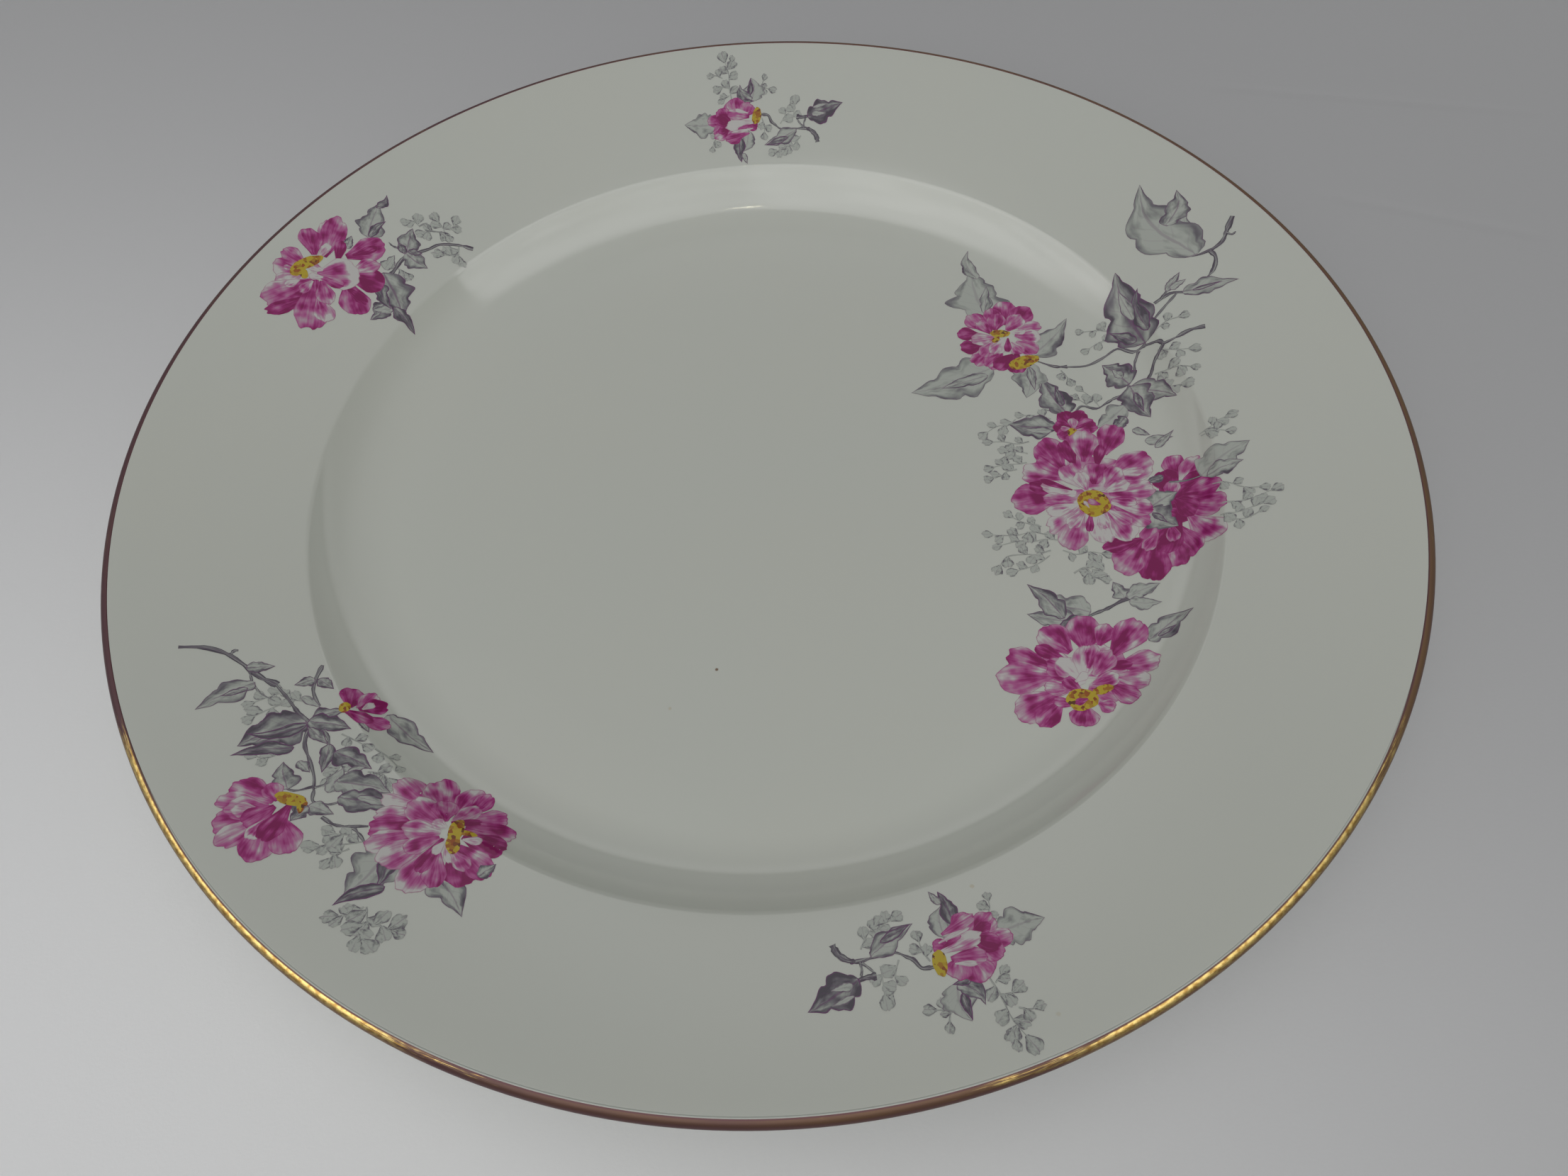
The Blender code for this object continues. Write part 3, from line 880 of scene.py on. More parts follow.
def make_spray(spray, node, materials):
    """Builds the pieces of a spray. The first of them stands for the CAD node."""
    flat, rows = mosaic(spray.shapes)
    names = list(dict.fromkeys(piece for _, piece, _, _ in spray.shapes))
    for name in names:
        own = [row for row in rows if spray.shapes[row[1][0]][1] == name]
        material = materials["leaf" if "foliage" in name else "petal"]
        piece = draped_piece(name, flat, own, spray.shapes, material)
        finish_piece(piece, "floral_enamel", *([node] if name == names[0] else []))


# ---------------------------------------------------------------- fired sprays: materials

ENAMEL_IOR = 1.32
ENAMEL_ROUGHNESS = 0.13
ENAMEL_WHITE = (0.645, 0.625, 0.60, 1.0)
PALE_PINK = (0.535, 0.330, 0.430, 1.0)
ROSE_PINK = (0.50, 0.125, 0.325, 1.0)
MAGENTA = (0.38, 0.030, 0.200, 1.0)
DEEP_MAGENTA = (0.25, 0.008, 0.105, 1.0)
YELLOW = (0.56, 0.42, 0.035, 1.0)
AMBER = (0.42, 0.20, 0.025, 1.0)
ORANGE = (0.36, 0.10, 0.022, 1.0)
UMBER = (0.12, 0.045, 0.02, 1.0)
PALE_SAGE = (0.495, 0.520, 0.470, 1.0)
SAGE = (0.355, 0.372, 0.342, 1.0)
SLATE = (0.205, 0.195, 0.212, 1.0)
CHARCOAL = (0.095, 0.080, 0.102, 1.0)
PLUM = (0.175, 0.066, 0.165, 1.0)


def enamel_surface(shader, colour):
    shader.set(Base_Color=colour, Roughness=ENAMEL_ROUGHNESS)
    shader.surface.inputs["IOR"].default_value = ENAMEL_IOR
    return shader.material


def petal_material():
    """Rose enamel brushed from base to rim in streaks, with inked edges and yellow stamens."""
    shader = Shader("rose_enamel")
    along, across, seed = shader.parts(shader.attribute("place"))
    tone, shade, hem = shader.parts(shader.attribute("look"))
    ink, warm = shader.parts(shader.attribute("marks"))[:2]
    pools = shader.noise(shader.position(), 330.0, 1.5)
    broad = shader.noise(shader.vector(shader.times(across, 1.8), shader.times(along, 1.2), seed), 1.4, 2.0)
    streak = shader.noise(shader.vector(shader.times(across, 6.0), shader.times(along, 1.1), seed), 1.5, 2.0)
    outward = shader.times(shader.math("SUBTRACT", along, 0.5), shade)
    rim = shader.smooth(shader.math("MAXIMUM", along, shader.math("ABSOLUTE", across)), 0.66, 0.97)
    amount = shader.add(tone, 0.04, outward, shader.centred(pools, 1.9), shader.centred(broad, 1.3))
    amount = shader.add(amount, shader.centred(streak, 0.45), shader.times(shader.times(rim, hem), -0.75))
    colour = shader.ramp(
        amount,
        [(0.0, ENAMEL_WHITE), (0.24, PALE_PINK), (0.5, ROSE_PINK), (0.76, MAGENTA), (1.0, DEEP_MAGENTA)],
    )
    colour = shader.mix(shader.times(ink, 0.75), colour, MAGENTA)
    dots = shader.cells(shader.position(), 1500.0)
    grain = shader.parts(dots.outputs["Color"])[0]
    gold = shader.ramp(grain, [(0.0, UMBER), (0.15, ORANGE), (0.3, AMBER), (0.5, YELLOW)])
    colour = shader.mix(warm, colour, gold)
    return enamel_surface(shader, colour)


def leaf_material():
    """Grey-green to charcoal enamel with a darker half, a midrib, side veins and plum edges."""
    shader = Shader("leaf_enamel")
    along, across, seed = shader.parts(shader.attribute("place"))
    tone, shade = shader.parts(shader.attribute("look"))[:2]
    ink = shader.parts(shader.attribute("marks"))[0]
    side = shader.smooth(across, -0.12, 0.12, -0.5, 0.5)
    wash = shader.noise(shader.vector(shader.times(across, 1.4), shader.times(along, 2.6), seed), 1.4, 2.5)
    outward = shader.times(shader.math("SUBTRACT", along, 0.5), shade)
    lean = shader.times(side, shader.centred(shader.noise(seed_vector(shader, seed), 3.0), 1.6))
    reach = shader.math("ABSOLUTE", across)
    rib = shader.smooth(reach, 0.03, 0.10, 1.0, 0.0)
    rise = shader.math("SUBTRACT", shader.times(along, 5.5), shader.times(reach, 1.5))
    gap = shader.math("ABSOLUTE", shader.math("SUBTRACT", shader.math("FRACT", rise), 0.5))
    veins = shader.times(shader.smooth(gap, 0.02, 0.09, 1.0, 0.0), shader.smooth(reach, 0.5, 0.9, 1.0, 0.0))
    dark_edge = shader.smooth(reach, 0.30, 1.0, -0.30, 0.30)
    amount = shader.add(tone, outward, lean, dark_edge, shader.centred(wash, 2.2))
    colour = shader.ramp(amount, [(0.0, PALE_SAGE), (0.3, SAGE), (0.62, SLATE), (1.0, CHARCOAL)])
    lines = shader.math("MAXIMUM", shader.times(rib, 0.6), shader.times(veins, 0.2))
    lines = shader.times(lines, shader.smooth(tone, 0.1, 0.6, 0.35, 1.0))
    blush = shader.smooth(shader.noise(shader.position(), 260.0, 2.0), 0.48, 0.62, 0.0, 0.8)
    blush = shader.times(blush, shader.smooth(tone, 0.45, 0.75, 0.15, 1.0))
    edge = shader.times(shader.smooth(reach, 0.72, 1.0), shader.smooth(tone, 0.1, 0.5, 0.3, 1.0))
    colour = shader.mix(lines, colour, PLUM)
    colour = shader.mix(shader.times(blush, edge), colour, PLUM)
    colour = shader.mix(shader.times(ink, 0.85), colour, PLUM)
    return enamel_surface(shader, colour)


def seed_vector(shader, seed):
    return shader.vector(seed, 0.31, 0.77)


# ---------------------------------------------------------------- fired sprays: drawing

# Rows are in millimetres on the plate, and later rows lie over earlier ones. Petals are (paint, base, tip,
# width), stamens (centre, tip, width), leaves (base, tip, width, tone, bend), stems (width, tone, route) and
# sprigs (leaflets, size, tone, route).


def bud_spray(name, place, turn):
    """One closed rose with leaves, a twig and pale sprigs. It is drawn about the middle of the bud."""
    spray = Spray(place, turn)
    foliage = "foliage_" + name
    bud = "bud_" + name
    spray.sprigs(foliage, [
        (4, 1.9, 0.08, [(11.5, -1.9), (12.8, 0.0), (13.5, 2.0), (14.8, 3.4)]),
        (3, 1.7, 0.10, [(14.5, -1.8), (15.2, 1.0), (15.7, 3.2)]),
        (5, 1.7, 0.16, [(15.0, -6.0), (12.5, -8.0), (9.5, -8.9)]),
        (4, 1.6, 0.14, [(16.5, -5.5), (14.8, -7.4), (12.4, -9.0)]),
        (3, 1.5, 0.33, [(-3.5, -3.5), (-5.3, -5.1), (-5.9, -6.9)]),
        (3, 1.4, 0.33, [(7.0, 0.0), (7.5, -2.0), (7.3, -4.2)]),
        (6, 2.0, 0.33, [(-0.3, 5.5), (-0.7, 8.5), (-0.6, 11.5), (-0.9, 13.5), (-1.6, 15.8)]),
        (2, 1.7, 0.33, [(-2.3, 11.1), (-3.7, 11.9), (-4.8, 11.9)]),
        (2, 1.6, 0.30, [(-0.1, 13.5), (0.1, 14.5), (0.4, 15.9)]),
        (2, 1.7, 0.30, [(-0.8, 8.4), (-2.0, 8.8), (-3.0, 8.5)]),
        (2, 1.6, 0.28, [(-0.8, 6.5), (-1.7, 5.9), (-2.5, 5.3)]),
        (2, 1.3, 0.45, [(7.0, 8.3), (7.7, 9.0), (8.4, 10.5)]),
        (2, 1.4, 0.28, [(7.1, 8.1), (8.5, 7.7), (9.7, 7.3)]),
    ])
    spray.stems(foliage, [
        (0.62, 0.75, [(6.3, 1.1), (7.5, 0.9), (8.7, 0.5), (9.3, -1.1), (10.1, -1.9), (11.7, -3.3),
            (14.5, -3.6)]),
        (0.70, 0.70, [(18.8, -4.1), (17.3, -3.7), (14.0, -3.55)]),
        (1.05, 0.78, [(20.5, -7.7), (20.2, -6.0), (19.2, -4.6), (18.0, -3.8)]),
        (0.45, 0.60, [(17.3, -3.6), (17.5, -2.2), (18.0, -1.2)]),
        (0.40, 0.45, [(17.1, -3.3), (16.1, -1.7), (15.7, -0.6)]),
        (1.00, 0.80, [(15.7, -0.5), (17.4, -0.8), (19.6, -0.6)]),
    ])
    spray.leaves(foliage, [
        ((-4.8, -0.9), (-12.6, -0.7), 6.2, 0.20, 0.03), ((4.7, 4.5), (4.9, 10.8), 5.6, 0.20, -0.12),
        ((4.4, 4.6), (2.0, 9.2), 3.2, 0.50, 0.16), ((4.5, 6.3), (4.8, 10.7), 1.6, 0.98, 0.0),
        ((2.4, 4.9), (5.4, 4.6), 1.2, 0.90, 0.0), ((3.5, -3.0), (1.6, -8.4), 4.3, 0.25, 0.08),
        ((1.0, -4.4), (1.2, -11.0), 3.0, 0.95, -0.05), ((1.7, -8.6), (2.6, -11.5), 1.4, 0.30, 0.0),
        ((18.4, -0.9), (27.6, 1.6), 6.0, 0.86, 0.02), ((20.0, 1.4), (23.9, 1.9), 1.1, 0.22, 0.0),
        ((19.6, -0.3), (23.2, -0.5), 1.7, 0.20, 0.0), ((15.5, -3.8), (7.1, -7.0), 4.0, 0.42, 0.04),
        ((13.2, -5.6), (7.5, -7.0), 1.7, 0.85, 0.0),
    ])
    spray.petals(bud, [
        ("mid", (0.0, 0.5), (1.5, 5.0), 9.0), ("mid", (0.5, -1.0), (-3.0, -4.6), 8.0),
        ("mid", (-2.0, -0.2), (-6.7, 0.1), 3.6), ("mid", (-1.5, 0.0), (-3.8, 3.0), 4.4),
        ("mid", (0.7, 1.3), (0.9, 5.7), 6.0), ("mid", (2.5, 0.9), (4.4, 4.2), 5.0),
        ("mid", (-1.0, -1.6), (-5.2, -4.0), 4.4), ("mid", (2.0, -3.0), (-1.8, -5.5), 4.2),
        ("mid", (3.0, -1.2), (5.7, -2.3), 3.2), ("deep", (-0.6, -1.2), (-4.2, 1.2), 4.0),
        ("deep", (-0.6, -2.0), (-4.2, -2.6), 2.4), ("mid", (3.8, 0.6), (-1.6, 1.4), 3.0),
        ("white", (3.6, 1.6), (0.4, 2.6), 1.1), ("white", (4.8, -0.9), (-2.4, -1.3), 2.9),
        ("mid", (4.6, -1.4), (0.9, -2.5), 1.2), ("white", (4.6, -2.4), (-0.8, -3.7), 1.2),
        ("mid", (3.6, -3.6), (-2.4, -4.9), 2.2),
    ])
    spray.stamens(bud, [((5.7, 0.7), (6.2, 2.8), 2.3)])
    return spray


def upper_left_spray():
    """One open rose with leaves on both sides of it, on the rim."""
    spray = Spray()
    foliage = "foliage_upper_left"
    rose = "rose_upper_left"
    spray.sprigs(foliage, [
        (3, 2.0, 0.18, [(-77.4, 73.2), (-78.6, 74.4), (-79.8, 74.2)]),
        (3, 1.9, 0.34, [(-74.0, 72.6), (-75.4, 72.4), (-76.4, 72.0)]),
        (3, 1.9, 0.34, [(-72.0, 72.8), (-72.6, 74.2), (-73.6, 75.6)]),
        (2, 1.9, 0.12, [(-71.0, 73.4), (-70.2, 74.4), (-69.8, 75.4)]),
        (2, 1.9, 0.50, [(-73.6, 72.6), (-72.4, 72.6), (-71.2, 71.4)]),
        (4, 1.9, 0.24, [(-68.8, 69.6), (-68.9, 67.6), (-70.4, 66.8), (-72.4, 66.8)]),
        (2, 1.8, 0.32, [(-68.9, 67.6), (-68.6, 66.6), (-68.2, 65.8)]),
        (2, 1.9, 0.30, [(-82.0, 61.4), (-80.8, 61.0), (-80.0, 60.2)]),
    ])
    spray.stems(foliage, [
        (0.75, 0.75, [(-83.8, 58.6), (-82.4, 61.0), (-81.4, 63.2), (-79.8, 65.6), (-78.6, 66.6)]),
        (0.70, 0.75, [(-65.6, 69.3), (-68.8, 69.8), (-73.0, 69.3), (-75.2, 67.8), (-77.4, 66.6),
            (-79.2, 66.0)]),
        (0.45, 0.65, [(-82.0, 66.8), (-83.2, 67.2), (-84.0, 68.0)]),
        (0.35, 0.40, [(-77.6, 73.4), (-76.0, 74.4), (-75.2, 72.8), (-73.4, 72.6), (-72.2, 72.6)]),
    ])
    spray.leaves(foliage, [
        ((-92.8, 64.6), (-91.9, 68.2), 2.4, 0.45, 0.0), ((-88.6, 68.4), (-86.2, 77.8), 6.2, 0.30, 0.04),
        ((-88.3, 68.6), (-84.8, 73.4), 2.2, 0.85, 0.06), ((-87.0, 76.6), (-84.9, 80.5), 2.0, 0.80, -0.18),
        ((-84.6, 60.6), (-82.6, 64.8), 3.0, 0.16, 0.0), ((-80.2, 65.4), (-79.0, 72.6), 5.0, 0.48, 0.02),
        ((-80.4, 65.6), (-82.0, 68.4), 2.0, 0.80, 0.0), ((-80.4, 65.8), (-75.4, 62.6), 5.0, 0.50, -0.05),
        ((-79.8, 66.4), (-76.6, 66.2), 1.8, 0.75, 0.0), ((-83.6, 52.2), (-86.8, 46.8), 4.4, 0.60, 0.10),
        ((-82.2, 50.6), (-86.6, 49.4), 2.6, 0.28, 0.0), ((-84.8, 59.8), (-80.2, 48.8), 9.2, 0.62, 0.04),
        ((-85.4, 56.8), (-82.6, 50.4), 3.4, 0.88, -0.10), ((-82.2, 51.2), (-78.0, 46.0), 3.2, 0.85, 0.05),
    ])
    spray.petals(rose, [
        ("pale", (-97.4, 64.0), (-97.6, 71.0), 3.4), ("mid", (-97.2, 61.5), (-94.4, 72.0), 5.6),
        ("mid", (-99.2, 61.6), (-100.6, 68.4), 5.6), ("mid", (-92.6, 62.4), (-84.8, 66.6), 6.4),
        ("deep", (-91.4, 63.0), (-86.4, 66.0), 2.2), ("deep", (-94.4, 60.6), (-93.9, 66.6), 2.6),
        ("rose", (-101.0, 58.8), (-105.4, 61.9), 4.6), ("rose", (-101.2, 56.6), (-107.1, 56.6), 6.4),
        ("pale", (-101.6, 55.6), (-106.2, 52.4), 4.4), ("rose", (-99.0, 54.6), (-107.8, 47.0), 7.6),
        ("deep", (-99.6, 50.4), (-106.6, 44.0), 3.4), ("mid", (-98.6, 55.0), (-98.2, 41.8), 7.2),
        ("rose", (-97.4, 50.4), (-95.2, 44.4), 4.8), ("rose", (-97.2, 55.0), (-95.4, 49.2), 4.4),
        ("deep", (-92.0, 57.4), (-84.4, 57.4), 7.2), ("mid", (-92.0, 55.6), (-89.2, 47.8), 7.2),
        ("deep", (-92.2, 54.4), (-87.6, 51.0), 2.6), ("pale", (-91.0, 58.8), (-86.2, 62.4), 4.0),
        ("hem", (-98.0, 56.4), (-89.9, 58.4), 9.4), ("mid", (-98.0, 56.2), (-92.6, 54.6), 3.0),
        ("white", (-98.4, 60.4), (-96.4, 65.2), 2.0), ("white", (-97.2, 57.8), (-100.0, 58.6), 2.6),
        ("white", (-97.0, 56.0), (-100.0, 55.8), 2.0), ("white", (-103.2, 57.2), (-105.0, 56.8), 1.6),
        ("white", (-101.6, 54.4), (-104.2, 52.2), 2.0), ("pale", (-99.0, 54.6), (-101.2, 51.2), 2.4),
    ])
    spray.stamens(rose, [
        ((-100.4, 59.2), (-97.6, 61.4), 2.6), ((-102.2, 57.0), (-103.4, 55.2), 2.6),
        ((-100.9, 56.2), (-100.6, 54.8), 1.7),
    ])
    return spray


def lower_left_spray():
    """Two roses, a bud and a leafy twig, from the lip down to the verge."""
    spray = Spray()
    twig = "foliage_lower_left_twig"
    leaves = "foliage_lower_left"
    spray.sprigs(twig, [
        (4, 1.9, 0.14, [(-89.0, -47.5), (-91.5, -49.0), (-94.5, -51.0)]),
        (4, 1.8, 0.18, [(-88.6, -50.0), (-91.4, -52.0), (-93.6, -54.0)]),
        (3, 1.7, 0.14, [(-86.0, -49.6), (-87.6, -49.4), (-88.8, -48.6)]),
    ])
    spray.stems(twig, [
        (0.95, 0.72, [(-91.0, -46.4), (-94.0, -45.0), (-97.2, -42.6), (-100.6, -40.4), (-104.4, -39.5),
            (-108.2, -39.9)]),
        (0.60, 0.65, [(-99.8, -40.4), (-99.4, -39.6), (-98.8, -39.5)]),
        (0.75, 0.72, [(-84.6, -53.8), (-86.4, -52.2), (-88.6, -49.4), (-91.2, -46.5)]),
        (0.50, 0.65, [(-96.4, -43.2), (-95.6, -45.0), (-95.0, -46.4)]),
        (0.35, 0.40, [(-95.0, -46.2), (-93.4, -48.4), (-90.6, -50.0)]),
        (0.75, 0.68, [(-84.7, -41.2), (-85.2, -44.6), (-85.0, -47.4), (-83.4, -50.4)]),
    ])
    spray.leaves(twig, [
        ((-96.8, -43.2), (-92.2, -42.3), 2.6, 0.42, 0.0),
        ((-94.6, -46.2), (-102.4, -53.0), 4.6, 0.34, -0.04),
        ((-95.4, -47.6), (-99.4, -49.8), 1.4, 0.62, 0.0), ((-84.8, -44.4), (-81.8, -46.4), 2.2, 0.60, 0.0),
        ((-85.2, -44.6), (-88.4, -46.2), 2.4, 0.50, 0.0), ((-86.6, -48.6), (-83.2, -50.6), 1.8, 0.22, 0.0),
    ])
    spray.sprigs(leaves, [
        (3, 1.6, 0.34, [(-78.6, -56.2), (-76.2, -57.4), (-74.4, -58.4)]),
        (3, 1.6, 0.28, [(-72.6, -59.0), (-70.2, -60.6), (-68.0, -62.8)]),
        (4, 1.9, 0.14, [(-78.0, -60.4), (-77.4, -63.0), (-78.6, -66.0)]),
        (4, 1.9, 0.38, [(-72.8, -64.0), (-70.6, -64.2), (-69.0, -65.6)]),
        (3, 1.8, 0.24, [(-87.4, -60.8), (-89.0, -62.0), (-91.2, -61.8)]),
        (5, 1.9, 0.30, [(-70.6, -78.0), (-73.4, -78.6), (-75.4, -78.6), (-77.6, -79.0)]),
        (3, 1.9, 0.20, [(-71.4, -76.4), (-74.0, -76.8), (-75.6, -76.4)]),
        (3, 1.8, 0.24, [(-72.4, -79.4), (-74.4, -80.6), (-75.0, -81.4)]),
        (5, 1.9, 0.34, [(-67.8, -90.0), (-69.4, -91.4), (-71.8, -91.6)]),
        (7, 2.0, 0.42, [(-67.4, -90.0), (-66.6, -92.6), (-64.4, -93.4), (-62.2, -94.4)]),
        (4, 2.0, 0.20, [(-67.2, -92.6), (-67.6, -94.6), (-66.4, -96.0)]),
    ])
    spray.stems(leaves, [
        (0.70, 0.72, [(-84.0, -54.6), (-84.0, -58.6), (-82.6, -61.8), (-81.0, -65.4), (-80.4, -68.4)]),
        (0.45, 0.70, [(-80.6, -67.4), (-83.4, -68.4), (-85.8, -67.4)]),
        (0.55, 0.70, [(-80.4, -68.2), (-80.0, -70.4), (-77.6, -70.9), (-76.0, -70.4)]),
        (0.40, 0.65, [(-80.4, -67.6), (-79.0, -66.8), (-78.4, -64.8)]),
        (0.60, 0.72, [(-78.0, -73.4), (-75.2, -75.0), (-70.4, -75.0)]),
        (0.50, 0.55, [(-72.6, -75.4), (-71.0, -77.2), (-69.4, -79.6)]),
        (0.50, 0.60, [(-82.6, -54.6), (-80.6, -57.0), (-80.0, -60.0)]),
    ])
    spray.leaves(leaves, [
        ((-73.0, -50.2), (-63.8, -58.0), 5.0, 0.42, -0.04),
        ((-76.6, -52.4), (-74.4, -55.4), 1.4, 0.45, 0.0), ((-84.0, -53.2), (-78.8, -51.0), 3.4, 0.55, 0.05),
        ((-84.6, -54.0), (-94.2, -60.0), 8.6, 0.60, -0.05),
        ((-85.6, -55.0), (-91.8, -59.0), 2.2, 0.24, 0.0), ((-84.4, -54.6), (-93.6, -57.2), 2.6, 0.92, 0.12),
        ((-85.4, -59.6), (-94.8, -62.0), 3.0, 0.90, -0.06),
        ((-84.6, -54.0), (-77.2, -55.0), 4.2, 0.74, 0.06), ((-84.0, -55.2), (-80.2, -58.6), 2.2, 0.52, 0.0),
        ((-80.0, -58.4), (-80.0, -64.6), 2.6, 0.66, 0.0), ((-79.0, -60.0), (-72.2, -63.4), 4.4, 0.74, 0.03),
        ((-76.0, -64.2), (-73.2, -62.8), 1.6, 0.25, 0.0), ((-84.4, -68.2), (-86.4, -62.6), 4.2, 0.52, 0.06),
        ((-84.2, -62.4), (-81.8, -64.6), 2.0, 0.40, 0.0), ((-78.2, -68.6), (-76.8, -63.2), 3.2, 0.22, 0.0),
        ((-77.6, -66.2), (-68.2, -68.2), 5.8, 0.44, 0.05),
        ((-76.4, -69.4), (-66.4, -71.4), 5.2, 0.64, 0.04), ((-73.4, -69.2), (-67.0, -70.8), 1.8, 0.36, 0.0),
        ((-80.6, -71.2), (-76.2, -72.8), 2.8, 0.34, 0.0), ((-80.6, -71.2), (-82.6, -74.4), 3.2, 0.66, 0.0),
        ((-66.0, -79.0), (-71.4, -88.0), 9.0, 0.26, 0.06),
        ((-65.6, -78.4), (-66.8, -86.6), 3.6, 0.92, 0.04),
        ((-65.4, -86.4), (-72.6, -89.8), 2.8, 0.90, -0.10),
        ((-58.6, -83.4), (-52.6, -92.0), 4.8, 0.34, 0.04), ((-58.8, -82.0), (-56.4, -86.4), 1.6, 0.60, 0.0),
    ])
    spray.petals("bud_lower_left", [
        ("mid", (-78.6, -50.2), (-78.8, -45.2), 4.2), ("rose", (-77.4, -50.0), (-75.6, -45.8), 3.4),
        ("deep", (-77.2, -50.2), (-73.4, -47.6), 4.2), ("mid", (-76.8, -52.0), (-72.0, -53.2), 3.6),
        ("white", (-76.8, -50.0), (-75.4, -48.0), 1.6), ("deep", (-79.0, -51.2), (-74.6, -52.4), 3.0),
    ])
    spray.stamens("bud_lower_left", [((-79.3, -50.3), (-79.1, -49.1), 1.9)])
    spray.petals("rose_lower_left_small", [
        ("mid", (-86.0, -70.6), (-92.6, -67.4), 5.6), ("mid", (-85.4, -70.4), (-87.6, -67.4), 4.0),
        ("rose", (-86.6, -71.4), (-94.4, -70.4), 4.0), ("mid", (-87.0, -73.2), (-94.0, -75.2), 5.6),
        ("pale", (-86.6, -74.2), (-92.2, -79.0), 4.8), ("mid", (-86.0, -75.0), (-86.8, -82.0), 5.8),
        ("mid", (-84.4, -73.6), (-81.0, -80.2), 5.4), ("rose", (-86.0, -72.0), (-92.8, -72.4), 4.8),
        ("white", (-87.8, -72.4), (-91.8, -72.4), 3.2), ("mid", (-85.6, -71.6), (-89.2, -75.4), 4.8),
        ("hem", (-86.2, -74.2), (-88.0, -78.0), 3.0), ("deep", (-83.4, -71.2), (-85.6, -78.2), 4.0),
    ])
    spray.stamens("rose_lower_left_small", [
        ((-83.4, -70.1), (-86.2, -69.2), 2.3), ((-81.8, -71.0), (-81.4, -72.8), 1.2),
    ])
    spray.petals("rose_lower_left_large", [
        ("rose", (-60.4, -72.0), (-67.4, -65.2), 5.4), ("rose", (-59.0, -71.6), (-61.2, -64.2), 6.0),
        ("rose", (-57.4, -72.0), (-54.6, -66.0), 6.2), ("mid", (-55.2, -71.6), (-52.6, -67.0), 4.0),
        ("rose", (-55.6, -73.2), (-49.0, -72.4), 5.0), ("mid", (-55.0, -75.0), (-47.2, -75.4), 5.0),
        ("deep", (-55.0, -76.8), (-48.0, -79.6), 5.4), ("deep", (-56.2, -79.0), (-52.4, -86.2), 7.0),
        ("mid", (-55.4, -78.8), (-49.4, -84.0), 5.0), ("white", (-63.6, -70.6), (-69.6, -69.6), 3.0),
        ("pale", (-63.0, -71.6), (-70.0, -73.0), 3.6), ("mid", (-62.4, -73.8), (-70.2, -75.8), 5.0),
        ("rose", (-62.4, -76.2), (-70.2, -78.6), 4.4), ("pale", (-60.4, -77.4), (-67.0, -82.4), 6.4),
        ("rose", (-59.0, -79.2), (-62.4, -87.3), 6.6), ("mid", (-58.4, -80.0), (-58.6, -86.6), 4.2),
        ("rose", (-58.8, -74.6), (-64.6, -69.8), 5.6), ("mid", (-58.4, -73.8), (-59.4, -69.0), 4.6),
        ("pale", (-57.2, -74.0), (-54.4, -69.6), 3.8), ("pale", (-58.8, -76.0), (-65.0, -75.4), 4.4),
        ("rose", (-58.8, -77.0), (-64.0, -79.4), 3.8), ("deep", (-58.2, -77.2), (-60.8, -84.0), 3.0),
        ("white", (-57.4, -78.2), (-56.0, -82.0), 2.4), ("pale", (-56.4, -79.6), (-53.4, -83.4), 3.0),
        ("deep", (-57.4, -74.0), (-53.0, -73.4), 2.0), ("white", (-58.0, -75.0), (-60.4, -73.8), 2.4),
        ("white", (-57.8, -77.8), (-59.4, -80.2), 1.9), ("white", (-55.0, -77.4), (-51.8, -77.8), 1.8),
    ])
    spray.stamens("rose_lower_left_large", [
        ((-56.3, -75.4), (-56.1, -73.2), 2.6), ((-56.4, -78.2), (-56.0, -80.2), 2.4),
        ((-54.4, -76.2), (-52.8, -76.6), 1.1),
    ])
    spray.leaves(leaves, [((-51.4, -84.6), (-48.8, -82.2), 2.6, 0.50, 0.0)])
    return spray


def right_spray():
    """The large spray: four roses and a bud on the right, from the rim down into the well."""
    spray = Spray()
    draw_right_rim_leaves(spray, "foliage_right_rim")
    draw_right_bud_leaves(spray, "foliage_right_bud")
    draw_right_well_leaves(spray, "foliage_right_well")
    draw_right_lower_leaves(spray, "foliage_right_lower")
    draw_right_upper_rose(spray, "rose_right_upper")
    draw_right_bud(spray, "bud_right")
    draw_right_dark_rose(spray, "rose_right_dark")
    draw_right_centre_rose(spray, "rose_right_centre")
    draw_right_lower_rose(spray, "rose_right_lower")
    return spray


